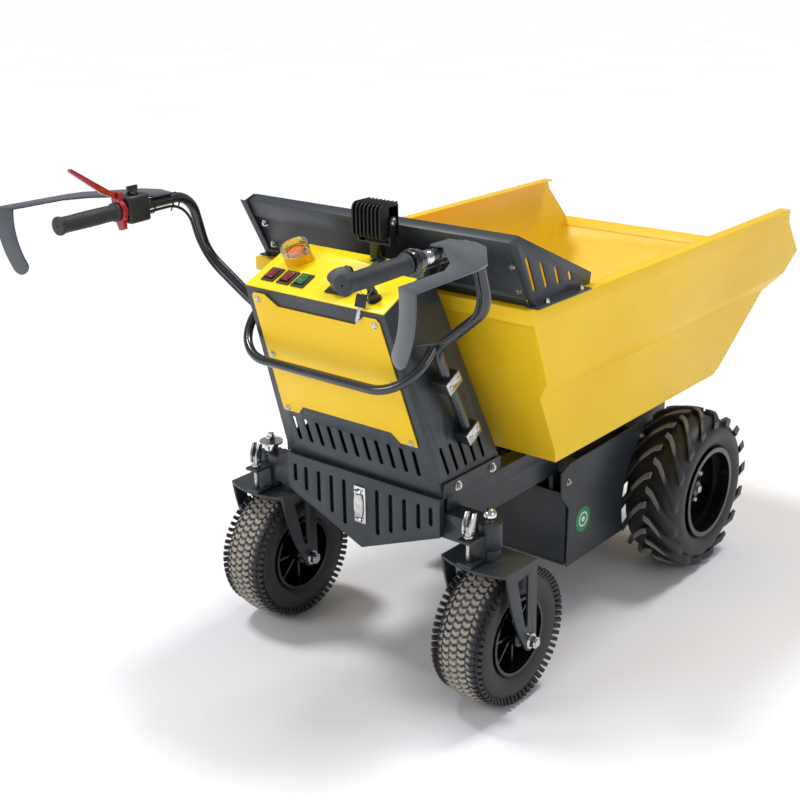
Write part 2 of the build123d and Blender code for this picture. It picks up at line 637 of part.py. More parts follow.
def console_housing():
    """Folded console shell, open below, with vent slots and a switch opening."""
    shell = console_solid(0) - console_solid(CONSOLE_SHEET)
    shell -= block(-CONSOLE_HALF_LOW + 6, CONSOLE_HALF_LOW - 6, -436, -248, 460, 480)
    for x in range(-170, 171, 34):
        cutter = SlotOverall(65, 11, rotation=90)
        shell -= extrude(on_rear(x, 72.5) * cutter, amount=8, both=True)
    window = Rectangle(250, 190)
    shell -= extrude(on_rear(0, 272) * window, amount=8, both=True)
    shell -= extrude(on_panel(0, PANEL_LENGTH / 2, -PANEL_THICK) * Rectangle(320, 118), amount=7, both=True)
    for step in range(5):
        y = -429 + 31 * step
        middle = Plane(origin=(215, y, 545.5), x_dir=(0, 22 / 68.6, -65 / 68.6), z_dir=(1, 0, 0))
        cutter = extrude(middle * SlotOverall(68.6, 9), amount=20, both=True)
        for side in both_sides(cutter):
            shell -= side
    flange = block(CONSOLE_HALF_LOW + 0.5, CONSOLE_HALF_LOW + 4.5, -442, -242, CONSOLE_BOTTOM, 500)
    flange += block(CONSOLE_HALF_LOW - 3, CONSOLE_HALF_LOW + 1, -438, -244, CONSOLE_BOTTOM, 474)
    for side in both_sides(flange):
        shell += side
    return shell


def console_cover():
    """Removable rear cover with ears at its corners."""
    half = [(0, 144), (125, 144), (145, 122), (190, 122), (190, 140), (174, 422), (167, 430), (136, 430)]
    half += [(106, 406), (0, 406)]
    outline = half + [(-x, s) for x, s in reversed(half[1:-1])]
    cover = extrude(REAR_FACE * Pos(0, 0, COVER_GAP) * Polygon(*outline, align=None), amount=COVER_THICK)
    for x, along in ((161, 415), (168, 276), (175.5, 130)):
        for side in (-1, 1):
            cover += disc(on_rear(side * x, along), 6, COVER_GAP)
    return cover


ROCKER_X = (-145.0, -101.0, -60.0)
ROCKER_ALONG = 43.0
ESTOP = (-124.0, 106.0)
CHARGE = (45.0, 52.0)
KEY = (140.0, 34.0)
SELECTOR = (88.0, 118.0)


def control_panel():
    """Sloping top panel with its cut-outs."""
    half = console_half(925)
    panel = extrude(on_panel(0, 0, -PANEL_THICK) * Polygon(
        (-half - 2, 0), (half + 2, 0), (half - 3, PANEL_LENGTH), (3 - half, PANEL_LENGTH), align=None
    ), amount=PANEL_THICK)
    for x in ROCKER_X:
        panel -= on_panel(x, ROCKER_ALONG) * Box(28, 36, 20)
    for place, radius in ((ESTOP, 10), (CHARGE, 20), (KEY, 10), (SELECTOR, 8)):
        panel -= on_panel(*place) * Cylinder(radius, 20)
    return panel


def panel_fittings():
    """Rocker frames, the selector's base ring and the key switch barrel."""
    pieces = []
    for x in ROCKER_X:
        frame = on_panel(x, ROCKER_ALONG, 1.5) * Box(34, 42, 3)
        skirt = on_panel(x, ROCKER_ALONG, -11) * Box(28, 36, 22)
        opening = on_panel(x, ROCKER_ALONG, 0) * Box(24, 32, 20)
        pieces.append(frame + skirt - opening)
    ring = on_panel(*SELECTOR) * Cylinder(20, 4, align=(Align.CENTER, Align.CENTER, Align.MIN))
    stem = on_panel(*SELECTOR, -24) * Cylinder(8, 24, align=(Align.CENTER, Align.CENTER, Align.MIN))
    pieces.append(ring + stem - on_panel(*SELECTOR, -10) * Cylinder(4.05, 40))
    pieces.append(key_barrel())
    return group(pieces)


def rocker(x):
    """Rocker with two raised ends."""
    outline = [(-14, 3), (-14, 8.5), (0, 5.5), (14, 6.5), (14, 3), (9, -4), (-9, -4)]
    plane = PANEL_FACE * Pos(x, ROCKER_ALONG, 0) * Rot(0, 90, 0)
    points = [(-height, along) for along, height in outline]
    return extrude(plane * Polygon(*points, align=None), amount=11.3, both=True)


def estop_base():
    """Guard collar of the emergency stop with its hinge lug and contact block."""
    seat = on_panel(*ESTOP)
    collar = seat * Cylinder(30, 20, align=(Align.CENTER, Align.CENTER, Align.MIN))
    collar -= seat * Pos(0, 0, 4) * Cylinder(24.5, 30, align=(Align.CENTER, Align.CENTER, Align.MIN))
    collar += seat * Pos(0, 0, -30) * Cylinder(10, 30, align=(Align.CENTER, Align.CENTER, Align.MIN))
    collar += seat * Pos(32.5, 0, 10) * Box(8, 14, 20)
    collar -= seat * Pos(0, 0, -40) * Cylinder(6.05, 60, align=(Align.CENTER, Align.CENTER, Align.MIN))
    return collar


def estop_button():
    """Mushroom button with its stem."""
    seat = on_panel(*ESTOP)
    cap = seat * Pos(0, 0, 12) * Cylinder(20, 8, align=(Align.CENTER, Align.CENTER, Align.MIN))
    cap += seat * Pos(0, 0, 20) * Cone(20, 15, 4, align=(Align.CENTER, Align.CENTER, Align.MIN))
    stem = seat * Pos(0, 0, -22) * Cylinder(6, 36, align=(Align.CENTER, Align.CENTER, Align.MIN))
    return cap + stem


def estop_cover():
    """Clear hinged cap over the emergency stop."""
    seat = on_panel(*ESTOP, 20.4)
    cap = seat * Cylinder(30, 16, align=(Align.CENTER, Align.CENTER, Align.MIN))
    cap -= seat * Cylinder(27.5, 14, align=(Align.CENTER, Align.CENTER, Align.MIN))
    cap += seat * Pos(33, 0, 2.5) * Box(9, 10, 5)
    return cap


def charge_socket():
    """Charging inlet with a square flange and round body."""
    seat = on_panel(*CHARGE)
    body = seat * Pos(0, 0, 1.5) * Box(60, 56, 3)
    body += seat * Cylinder(24, 26, align=(Align.CENTER, Align.CENTER, Align.MIN))
    body += seat * Pos(0, 0, -30) * Cylinder(20, 30, align=(Align.CENTER, Align.CENTER, Align.MIN))
    body += seat * Pos(0, 29, 13) * Box(14, 8, 26)
    body -= seat * Pos(0, 0, 8) * Cylinder(19, 30, align=(Align.CENTER, Align.CENTER, Align.MIN))
    for turn in range(3):
        pin = disc(Rot(0, 0, 120 * turn) * Pos(9, 0, 7), 2.5, 12)
        body += seat * pin
    return body


def charge_lid():
    """Hinged round lid of the charging inlet."""
    seat = on_panel(*CHARGE, 26.4)
    lid = seat * Cylinder(26, 5, align=(Align.CENTER, Align.CENTER, Align.MIN))
    lid += seat * Pos(0, 0, -6) * Cylinder(18, 6.5, align=(Align.CENTER, Align.CENTER, Align.MIN))
    lid += seat * Pos(0, 27, 2.5) * Box(14, 6, 5)
    return lid


def key_barrel():
    """Key switch barrel on a round flange."""
    seat = on_panel(*KEY)
    barrel = seat * Cylinder(15, 3, align=(Align.CENTER, Align.CENTER, Align.MIN))
    barrel += seat * Cylinder(11, 18, align=(Align.CENTER, Align.CENTER, Align.MIN))
    barrel += seat * Pos(0, 0, -32) * Cylinder(10, 32, align=(Align.CENTER, Align.CENTER, Align.MIN))
    return barrel - seat * Pos(0, 0, -8) * Cylinder(5.05, 40, align=(Align.CENTER, Align.CENTER, Align.MIN))


def ignition_key():
    """Key in the switch, with its plug."""
    seat = on_panel(*KEY)
    plug = seat * Pos(0, 0, -6) * Cylinder(5, 24.5, align=(Align.CENTER, Align.CENTER, Align.MIN))
    bow = seat * Pos(0, 0, 30) * Box(22, 4, 24)
    return plug + bow


def selector_knob():
    """Pointer knob of the rotary selector."""
    seat = on_panel(*SELECTOR, 4.3)
    knob = seat * Cylinder(15, 10, align=(Align.CENTER, Align.CENTER, Align.MIN))
    knob += seat * Pos(0, 3, 12) * Box(9, 34, 12)
    return knob + seat * Pos(0, 0, -16) * Cylinder(4, 17, align=(Align.CENTER, Align.CENTER, Align.MIN))


LAMP_AXIS = (-448.0, 1037.0)
LAMP_X = (25.0, 100.0)


def lamp_head():
    """Work light with cooling fins on its back and a pivot bolt each side."""
    x0, x1 = LAMP_X
    y, z = LAMP_AXIS
    body = prism_x([(y - 12, z - 32), (y + 25, z - 32), (y + 25, z + 38), (y - 12, z + 36)], x0, x1)
    for fin in range(8):
        left = x0 + fin * (x1 - x0 - 4) / 7
        plate = [(y - 35, z - 22), (y - 11, z - 32), (y - 11, z + 36), (y - 35, z + 34)]
        body += prism_x(plate, left, left + 4)
    bolts = rod((x0 - 9, y, z), (x1 + 9, y, z), 4)
    return body + bolts


def lamp_bracket():
    """U bracket that carries the work light on the panel's front edge."""
    x0, x1 = LAMP_X
    y, z = LAMP_AXIS
    foot_y, foot_z = panel_end()
    low = z - 44
    arm = prism_x([(y - 11, low), (y + 11, low), (y + 9, z + 3), (y - 9, z + 3)], x1 + 2, x1 + 5)
    arm += rod((x1 + 2, y, z + 2), (x1 + 5, y, z + 2), 10)
    other = Pos(x0 - x1 - 7, 0, 0) * arm
    bridge = block(x0 - 5, x1 + 5, y - 11, y + 11, low - 3, low)
    post = block(50, 75, y - 9, y + 9, foot_z + 1.5, low - 2)
    foot = on_panel(62.5, PANEL_LENGTH - 10, 1.5) * Box(30, 17, 3)
    bracket = arm + other + bridge + post + foot
    bracket -= on_panel(62.5, PANEL_LENGTH - 10, -10) * Box(60, 60, 20)
    return bracket - rod((0, y, z), (130, y, z), 4.05)


# ---- handlebars --------------------------------------------------------------------------------
def bar_direction():
    """Direction of the straight grip end of the right bar, pointing forward."""
    a = Vector(*BAR_POINTS[0])
    b = Vector(*BAR_POINTS[1])
    return (b - a).normalized()


def bar_frame(along):
    """Frame on the right grip axis, a distance forward of the tube's rear end."""
    direction = bar_direction()
    return Plane(origin=Vector(*BAR_POINTS[0]) + direction * along, x_dir=(1, 0, 0), z_dir=direction)


def right_bar():
    """Right handlebar tube."""
    return bent_tube(BAR_POINTS, BAR_RADII, BAR_R, BAR_WALL)


def handlebars():
    """Left and right handlebar tubes."""
    return group(both_sides(right_bar()))


def push_loop():
    """Round push loop behind the console, welded to both bars."""
    points = [(241, -494, 814), (241, -578, 732), (-241, -578, 732), (-241, -494, 814)]
    loop = bent_tube(points, [95, 95], LOOP_R, 2)
    solid_bar = bent_tube(BAR_POINTS, BAR_RADII, BAR_R)
    for bar in both_sides(solid_bar):
        loop -= bar
    pieces = sorted(loop.solids(), key=lambda s: s.volume)
    return pieces[-1]


def tube_clamp_planes():
    """Frames of the two clamps on the right bar, Z along the tube."""
    a = Vector(*BAR_POINTS[3])
    b = Vector(*BAR_POINTS[4])
    direction = (b - a).normalized()
    planes = []
    for z in (728, 596):
        share = (z - a.Z) / (b.Z - a.Z)
        planes.append(Plane(origin=a + (b - a) * share, x_dir=(1, 0, 0), z_dir=direction))
    return planes


def tube_clamps():
    """Clamp blocks between the console sides and the bars."""
    blocks = []
    for plane in tube_clamp_planes():
        body = plane * Pos(-5, 0, 0) * Box(36, 46, 30)
        body -= plane * Cylinder(BAR_R, 60)
        body -= console_solid(-0.1)
        body = sorted(body.solids(), key=lambda s: s.volume)[-1]
        blocks += both_sides(body)
    return group(blocks)


def clamp_plates():
    """Zinc plates and screws on the clamp blocks."""
    plates = []
    for plane in tube_clamp_planes():
        body = plane * Pos(15, 0, 0) * Box(4, 46, 30)
        for offset in (-14, 14):
            body += plane * Pos(17, offset, 0) * Rot(0, 90, 0) * Cylinder(4.5, 5)
        plates += both_sides(body)
    return group(plates)


GUARD_Z = 1066.0


def hand_guards():
    """Bent plate guards outside both grips."""
    outline = [(366, -660), (366, -606), (391, -602), (417, -597), (455, -616), (530, -715), (538, -752)]
    outline += [(546, -920), (502, -907), (498, -789), (473, -741), (422, -692), (394, -660)]
    plate = prism_z(outline, GUARD_Z, GUARD_Z + SHEET)
    drop_plane = Plane(origin=(524, -913.5, GUARD_Z), x_dir=(0.959, -0.283, 0), z_dir=(-0.283, -0.959, 0))
    edge = (
        Line((-22.9, SHEET), (-22.9, 0))
        + ThreePointArc((-22.9, 0), (-26, -65), (-46, -112))
        + ThreePointArc((-46, -112), (-34, -131), (-8, -122))
        + ThreePointArc((-8, -122), (15, -70), (22.9, 0))
        + Line((22.9, 0), (22.9, SHEET))
        + Line((22.9, SHEET), (-22.9, SHEET))
    )
    drop = extrude(drop_plane * make_face(edge), amount=SHEET)
    return group(both_sides(plate + drop))


def grip(bore, length):
    """Rubber grip with an end collar, on the right bar."""
    sleeve = disc(bar_frame(-4), GRIP_R, length)
    sleeve += disc(bar_frame(-8), GRIP_R + 2.5, 8)
    sleeve += disc(bar_frame(length - 9), GRIP_R + 3, 5)
    return sleeve - disc(bar_frame(-3), bore, 400)


def grip_left():
    """Fixed left grip."""
    return mirror(grip(BAR_R, 143), about=Plane.YZ)


def throttle_grip():
    """Twist-throttle grip on the right bar."""
    return grip(BAR_R + RUNNING_FIT, 157)


def throttle_housing():
    """Glossy twist-throttle housing in front of the right grip."""
    body = disc(bar_frame(155), 24, 18)
    body += disc(bar_frame(172), 20, 16)
    body += bar_frame(176) * Pos(0, 20, 0) * Box(18, 16, 22)
    return body - disc(bar_frame(100), BAR_R, 200)


def switch_housing():
    """Switch pod on the left bar."""
    body = bar_frame(186) * Box(42, 56, 56)
    body = chamfer(body.edges(), 4)
    body = body - disc(bar_frame(100), BAR_R, 200)
    body -= disc(mode_switch_frame(-8), 4.05, 40)
    return mirror(body, about=Plane.YZ)


def mode_switch_frame(along):
    """Frame of the thumb switch on the right-hand twin of the pod."""
    return bar_frame(186) * Pos(0, -28 - along, 0) * Rot(90, 0, 0)


def mode_switch():
    """Rotary thumb switch with a fin."""
    knob = disc(mode_switch_frame(0.3), 12, 9)
    knob += mode_switch_frame(12) * Box(5, 26, 12)
    knob += disc(mode_switch_frame(-6), 4, 7)
    return mirror(knob, about=Plane.YZ)


BRAKE_AXIS = (-376.6, -744.0, 1083.0)


def brake_perch():
    """Red clamp of the brake lever on the left bar."""
    ring = disc(bar_frame(142), 21, 12)
    ear = bar_frame(148) * Pos(0, -28, 0) * Box(18, 22, 12)
    body = ring + ear - disc(bar_frame(100), BAR_R, 100)
    slot = bar_frame(148) * Pos(0, -32, 0) * Box(8.6, 20, 14)
    body -= slot
    return mirror(body, about=Plane.YZ)


def brake_lever():
    """Red hand lever, raised above the left grip."""
    x, y, z = BRAKE_AXIS
    outline = [(y - 5, z - 6), (y + 5, z - 5), (y + 6, z + 5), (y - 18, z + 12)]
    outline += [(y - 108, z + 70), (y - 114, z + 67)]
    outline += [(y - 110, z + 62), (y - 40, z + 10)]
    blade = prism_x(outline, x - 4, x + 4)
    return blade


# ---- cables --------------------------------------------------------------------------------------
CABLE_POINTS = [(380, -561, 1039), (381, -525, 916), (268, -509, 831), (228, -519, 821), (186, -522, 817)]
LEFT_CABLE_START = (378.5, -675.5, 1036)
RIGHT_CABLE_START = (377.5, -701.0, 1033)


def cable_radii(points):
    """Largest arcs that the runs allow."""
    radii = []
    for before, corner, after in zip(points, points[1:], points[2:]):
        a = Vector(*corner) - Vector(*before)
        b = Vector(*after) - Vector(*corner)
        turn = a.get_angle(b)
        radii.append(0.45 * min(a.length, b.length) / tan(radians(turn / 2)))
    return radii


def control_cables():
    """Control cables from the grips down the bars into the console sides."""
    cables = []
    for start in (RIGHT_CABLE_START, LEFT_CABLE_START):
        points = [start] + CABLE_POINTS
        radii = cable_radii(points)
        cable = bent_tube(points, radii, CABLE_R)
        print("cable radii", [round(r) for r in radii])
        cable -= console_solid(0)
        cables.append(sorted(cable.solids(), key=lambda s: s.volume)[-1])
    return group([cables[0], mirror(cables[1], about=Plane.YZ)])


# ---- latch ------------------------------------------------------------------------------------------
def latch_base():
    """Back plate of the apron latch."""
    plate = block(-16, 16, APRON_Y - 2.5, APRON_Y, 352, 438)
    for z in (362, 428):
        plate += rod((-9, APRON_Y - 7, z), (9, APRON_Y - 7, z), 4.5)
    return plate - rod((0, APRON_Y - 10, LATCH_Z), (0, APRON_Y + 10, LATCH_Z), 5 + RUNNING_FIT)


def apron_latch():
    """Quarter-turn latch paddle on its spindle."""
    outline = [(-9, 368), (9, 368), (13, 384), (13, 406), (9, 421), (-9, 421), (-13, 406), (-13, 384)]
    paddle = prism_y(outline, APRON_Y - 8.5, APRON_Y - 4.5)
    return paddle + rod((0, APRON_Y - 5, LATCH_Z), (0, APRON_Y + 8, LATCH_Z), 5)


# ---- assembly ------------------------------------------------------------------------------------------
def place_caster(shape, side):
    """Move a caster piece from the middle plane to its side."""
    if side < 0:
        shape = mirror(shape, about=Plane.YZ)
    return Pos(side * CASTER_X, 0, 0) * shape


def wheel_nodes():
    """Pieces of the four wheels and their casters."""
    nodes = {}
    rim = caster_rim()
    drive = drive_rim()
    for name, side in (("right", 1), ("left", -1)):
        caster_size = (CASTER_R, CASTER_R, CASTER_W, CASTER_RIM_R)
        nodes[f"caster_tyre_{name}"] = tyre(side * CASTER_X, CASTER_Y, *caster_size)
        nodes[f"caster_rim_{name}"] = Pos(side * CASTER_X, CASTER_Y, CASTER_R) * rim
        nodes[f"caster_fork_{name}"] = place_caster(caster_fork(), side)
        hardware = caster_hardware(side, side > 0)
        nodes[f"caster_hardware_{name}"] = place_caster(hardware, side)
        nodes[f"lock_pin_{name}"] = place_caster(lock_pin(), side)
        nodes[f"drive_tyre_{name}"] = tyre(side * DRIVE_X, DRIVE_Y, DRIVE_R, DRIVE_R, DRIVE_W, DRIVE_RIM_R)
        turned_rim = drive if side > 0 else mirror(drive, about=Plane.YZ)
        nodes[f"drive_rim_{name}"] = Pos(side * DRIVE_X, DRIVE_Y, DRIVE_R) * turned_rim
    return nodes


def build():
    """Every node of the machine by name."""
    nodes = {
        "chassis_frame": chassis_frame(),
        "swivel_beams": swivel_beams(),
        "rear_apron": rear_apron(),
        "side_plates": side_plates(),
        "battery_pack": battery_pack(),
        "motor_controller": motor_controller(),
        "transaxle": transaxle(),
        "tub_rest_pads": tub_rest_pads(),
        "chassis_bolts": chassis_bolts(),
        "tub": tub(),
        "headboard": headboard(),
        "headboard_wings": headboard_wings(),
        "tub_bolts": tub_bolts(),
        "actuator_body": actuator_body(),
        "actuator_rod": actuator_rod(),
        "console_housing": console_housing(),
        "console_cover": console_cover(),
        "control_panel": control_panel(),
        "panel_fittings": panel_fittings(),
        "estop_base": estop_base(),
        "estop_button": estop_button(),
        "estop_cover": estop_cover(),
        "charge_socket": charge_socket(),
        "charge_lid": charge_lid(),
        "ignition_key": ignition_key(),
        "selector_knob": selector_knob(),
        "lamp_head": lamp_head(),
        "lamp_bracket": lamp_bracket(),
        "handlebars": handlebars(),
        "push_loop": push_loop(),
        "tube_clamps": tube_clamps(),
        "clamp_plates": clamp_plates(),
        "hand_guards": hand_guards(),
        "grip_left": grip_left(),
        "throttle_grip": throttle_grip(),
        "throttle_housing": throttle_housing(),
        "switch_housing": switch_housing(),
        "mode_switch": mode_switch(),
        "brake_perch": brake_perch(),
        "brake_lever": brake_lever(),
        "control_cables": control_cables(),
        "latch_base": latch_base(),
        "apron_latch": apron_latch(),
    }
    for number, x in enumerate(ROCKER_X, start=1):
        nodes[f"rocker_{number}"] = rocker(x)
    nodes.update(wheel_nodes())
    return nodes


os.makedirs("parts", exist_ok=True)
for node_name, node_shape in build().items():
    export_step(node_shape, f"parts/{node_name}.step")
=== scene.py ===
"""Battery power wheelbarrow: finishes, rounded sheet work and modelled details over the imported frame.

Everything is in metres.  +Z is up, +Y is the dumping direction and +X is the machine's right side.
"""

import json
import math

import bmesh
import bpy
from bpy.props import FloatProperty, IntProperty, PointerProperty, StringProperty
from mathutils import Matrix, Vector

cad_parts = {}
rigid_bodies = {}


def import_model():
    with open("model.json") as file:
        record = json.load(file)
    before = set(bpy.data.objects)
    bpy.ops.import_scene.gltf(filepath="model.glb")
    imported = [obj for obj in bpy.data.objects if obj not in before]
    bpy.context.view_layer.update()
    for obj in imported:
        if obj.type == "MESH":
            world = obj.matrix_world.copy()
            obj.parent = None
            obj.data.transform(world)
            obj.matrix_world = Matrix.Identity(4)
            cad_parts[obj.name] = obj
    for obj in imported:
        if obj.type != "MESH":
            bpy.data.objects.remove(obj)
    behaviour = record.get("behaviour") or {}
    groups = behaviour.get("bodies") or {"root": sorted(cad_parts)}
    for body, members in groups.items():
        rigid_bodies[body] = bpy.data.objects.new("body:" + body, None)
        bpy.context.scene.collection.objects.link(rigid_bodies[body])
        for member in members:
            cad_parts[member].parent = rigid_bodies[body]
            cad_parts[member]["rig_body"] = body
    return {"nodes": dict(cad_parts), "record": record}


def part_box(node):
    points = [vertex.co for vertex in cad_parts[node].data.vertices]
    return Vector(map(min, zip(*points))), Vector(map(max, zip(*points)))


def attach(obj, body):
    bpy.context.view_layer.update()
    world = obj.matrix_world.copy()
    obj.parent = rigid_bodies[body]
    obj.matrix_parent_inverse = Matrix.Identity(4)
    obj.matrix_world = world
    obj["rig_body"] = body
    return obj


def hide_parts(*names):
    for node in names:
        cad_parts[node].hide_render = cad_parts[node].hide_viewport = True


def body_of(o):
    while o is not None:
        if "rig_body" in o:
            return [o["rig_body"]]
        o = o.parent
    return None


bl_info = {
    "name": "Power wheelbarrow",
    "version": (1, 0, 0),
    "blender": (4, 5, 0),
    "location": "3D View > Sidebar > Wheelbarrow",
    "description": "Models the tyres, grips and fittings of a battery power wheelbarrow and finishes it",
    "category": "Object",
}

MM = 0.001
MERGE = 0.02 * MM             # vertices closer than this are one
CAD_MERGE = 0.01 * MM         # the same, on a copy of a CAD node's triangles
LEVEL = 0.1 * MM              # how near a vertex lies to the level it belongs to
EDGE_SHADING = 38             # degrees; sharper edges than this stay crisp on turned and moulded pieces
BLOCK_SHADING = 40
MIX_A, MIX_B, MIX_RESULT = 6, 7, 2   # colour sockets of a Mix node

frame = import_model()
NODES = frame["nodes"]
SLOT_OF = {part["node"]: part["material_slot"] for part in frame["record"]["subparts"]}
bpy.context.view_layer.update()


def node_middle(node):
    """Middle of a CAD node's box."""
    low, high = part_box(node)
    return (Vector(low) + Vector(high)) / 2


CASTER_MIDDLE = node_middle("caster_tyre_right")
DRIVE_MIDDLE = node_middle("drive_tyre_right")
CASTER_SIZE = Vector(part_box("caster_tyre_right")[1]) - Vector(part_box("caster_tyre_right")[0])
DRIVE_SIZE = Vector(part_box("drive_tyre_right")[1]) - Vector(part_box("drive_tyre_right")[0])

# The handlebar's straight end runs almost level along +Y; distances along it start at its rear tip.
BAR_TIP = Vector((374.0, -890.0, 1047.2)) * MM
BAR_AXIS = Vector((0.01758799, 0.99958385, 0.02286438))
BAR_UP = Vector((0.0, -0.0228679, 0.9997385))
BAR_RADIUS = 11.05            # millimetres, just off the tube
AXLE = Matrix.Rotation(math.radians(90), 4, "Y")      # takes Z, the lathe axis, to +X, the axle
MIRROR_X = Matrix.Scale(-1, 4, (1, 0, 0))
PANEL_EDGE = Vector((0, -581, 893)) * MM              # middle of the panel's rear edge
PANEL_SLOPE = math.radians(24)
STOP_PLACE = (-124, 106)      # millimetres across the panel and up its slope
INLET_PLACE = (45, 52)
KEY_PLACE = (140, 34)


# ---- user settings ----
class TyreSettings(bpy.types.PropertyGroup):
    caster_pitches: IntProperty(
        name="Caster pitches", description="Tread rows round a caster tyre", default=62, min=20)
    caster_depth: FloatProperty(
        name="Caster tread", description="Tread depth of the caster tyres", default=6.5 * MM,
        unit="LENGTH", subtype="DISTANCE")
    drive_pitches: IntProperty(
        name="Drive lugs", description="Lugs on each side of a drive tyre", default=17, min=8)
    drive_depth: FloatProperty(
        name="Lug height", description="Height of the drive tyre lugs", default=17.0 * MM,
        unit="LENGTH", subtype="DISTANCE")


class SheetSettings(bpy.types.PropertyGroup):
    fold_radius: FloatProperty(
        name="Fold radius", description="Rounding of folded sheet edges", default=1.2 * MM,
        unit="LENGTH", subtype="DISTANCE")
    plate_radius: FloatProperty(
        name="Plate radius", description="Rounding of cut plate and moulded edges", default=0.7 * MM,
        unit="LENGTH", subtype="DISTANCE")


class FinishSettings(bpy.types.PropertyGroup):
    tub: StringProperty(name="Tub", description="Tub paint, sRGB hex", default="F6CC1A")
    panel: StringProperty(name="Panel", description="Panel film, sRGB hex", default="FBE41C")
    chassis: StringProperty(name="Chassis", description="Chassis powder coat, sRGB hex", default="2A3137")
    floor: StringProperty(name="Floor", description="Studio floor, sRGB hex", default="F3F3F6")


# ---- selection and modelling helpers ----
def clear_selection():
    """Leave edit mode with nothing selected."""
    if bpy.context.object and bpy.context.object.mode != "OBJECT":
        bpy.ops.object.mode_set(mode="OBJECT")
    bpy.ops.object.select_all(action="DESELECT")


def take(*objs):
    """Select these objects only; the first one is active."""
    clear_selection()
    for obj in objs:
        obj.select_set(True)
    bpy.context.view_layer.objects.active = objs[0]


def edit(kind="FACE"):
    """Edit the active object in one select mode."""
    bpy.ops.object.mode_set(mode="EDIT")
    bpy.ops.mesh.select_mode(type=kind)


def pick(test, kind="faces"):
    """Select the faces, edges or vertices whose middle and normal pass a test."""
    mesh = bmesh.from_edit_mesh(bpy.context.object.data)
    bpy.ops.mesh.select_all(action="DESELECT")
    for item in getattr(mesh, kind):
        if kind == "verts":
            middle, normal = item.co, item.normal
        elif kind == "edges":
            middle, normal = (item.verts[0].co + item.verts[1].co) / 2, item.verts[1].co - item.verts[0].co
        else:
            middle, normal = item.calc_center_median(), item.normal
        if test(middle, normal):
            item.select_set(True)
    mesh.select_flush_mode()
    bmesh.update_edit_mesh(bpy.context.object.data)


def pick_level(height, side=0):
    """Select the vertices at one height, on both sides or only on +X."""
    pick(lambda co, n: abs(co.z - height) < LEVEL and (not side or co.x > 0), "verts")


def cut_levels(heights):
    """Cut the edited piece across at each height."""
    for height in heights:
        edit("EDGE")
        bpy.ops.mesh.select_all(action="SELECT")
        bpy.ops.mesh.bisect(plane_co=(0, 0, height), plane_no=(0, 0, 1))


def settle(obj, matrix=None):
    """Place a modelled piece and put that place into its mesh."""
    take(obj)
    if matrix is not None:
        obj.matrix_world = matrix @ obj.matrix_world
    bpy.ops.object.transform_apply(location=True, rotation=True, scale=True)
    return obj


def block(name, size, place, rotation=(0, 0, 0)):
    """Square-edged block at its size and place, in metres."""
    clear_selection()
    bpy.ops.mesh.primitive_cube_add(size=1, location=place, scale=size, rotation=rotation)
    obj = bpy.context.object
    obj.name = name
    return settle(obj)


def soften(obj, angle=BLOCK_SHADING):
    """Shade a piece smooth up to an angle."""
    take(obj)
    bpy.ops.object.shade_smooth_by_angle(angle=math.radians(angle))
    return obj


def tidy_mesh(obj, angle=35.0):
    """Merge doubles, turn normals outwards and shade by angle."""
    take(obj)
    edit("VERT")
    bpy.ops.mesh.select_all(action="SELECT")
    bpy.ops.mesh.remove_doubles(threshold=MERGE)
    bpy.ops.mesh.normals_make_consistent(inside=False)
    bpy.ops.object.mode_set(mode="OBJECT")
    return soften(obj, angle)


def join(name, objs):
    """One object from several."""
    take(*objs)
    if len(objs) > 1:
        bpy.ops.object.join()
    obj = bpy.context.object
    obj.name = name
    obj.data.name = name
    return obj


def move_mesh(obj, matrix):
    """Move a piece in its mesh; a mirrored one still faces outwards."""
    obj.data.transform(matrix)
    if matrix.determinant() < 0:
        obj.data.flip_normals()
    return obj


def copy_of(obj, name, matrix=None):
    """A copy with its own mesh, moved in its mesh."""
    twin = obj.copy()
    twin.data = obj.data.copy()
    twin.name = name
    twin.data.name = name
    bpy.context.scene.collection.objects.link(twin)
    return twin if matrix is None else move_mesh(twin, matrix)


def lathe(name, profile, sides, closed=False):
    """Round piece about Z, extruded ring by ring along a profile of (radius, height)."""
    clear_selection()
    radius, height = profile[0]
    fill = "NOTHING" if closed else "NGON"
    bpy.ops.mesh.primitive_circle_add(vertices=sides, radius=radius, location=(0, 0, height), fill_type=fill)
    obj = bpy.context.object
    obj.name = name
    edit("EDGE" if closed else "FACE")
    bpy.ops.mesh.select_all(action="SELECT")
    for next_radius, next_height in profile[1:]:
        bpy.ops.mesh.extrude_region_move(TRANSFORM_OT_translate={"value": (0, 0, next_height - height)})
        ratio = next_radius / radius
        bpy.ops.transform.resize(value=(ratio, ratio, 1), center_override=(0, 0, next_height))
        radius, height = next_radius, next_height
    bpy.ops.object.mode_set(mode="OBJECT")
    return settle(obj)


def array_round(obj, count):
    """Copies of a piece all round Z."""
    take(obj)
    bpy.ops.object.empty_add(location=(0, 0, 0), rotation=(0, 0, math.tau / count))
    turn = bpy.context.object
    take(obj)
    bpy.ops.object.modifier_add(type="ARRAY")
    array = obj.modifiers[-1]
    array.count = count
    array.use_relative_offset = False
    array.use_object_offset = True
    array.offset_object = turn
    bpy.ops.object.modifier_apply(modifier=array.name)
    bpy.data.objects.remove(turn)
    return obj


def bevel(obj, width, segments=2, angle=32.0):
    """Round the sharp edges of a piece."""
    take(obj)
    bpy.ops.object.modifier_add(type="BEVEL")
    rounding = obj.modifiers[-1]
    rounding.width = width
    rounding.segments = segments
    rounding.limit_method = "ANGLE"
    rounding.angle_limit = math.radians(angle)
    rounding.harden_normals = False
    rounding.miter_outer = "MITER_SHARP"
    rounding.use_clamp_overlap = True
    bpy.ops.object.modifier_apply(modifier=rounding.name)
    return obj


def shift(x, y, z):
    """Matrix of a move in millimetres."""
    return Matrix.Translation((x * MM, y * MM, z * MM))


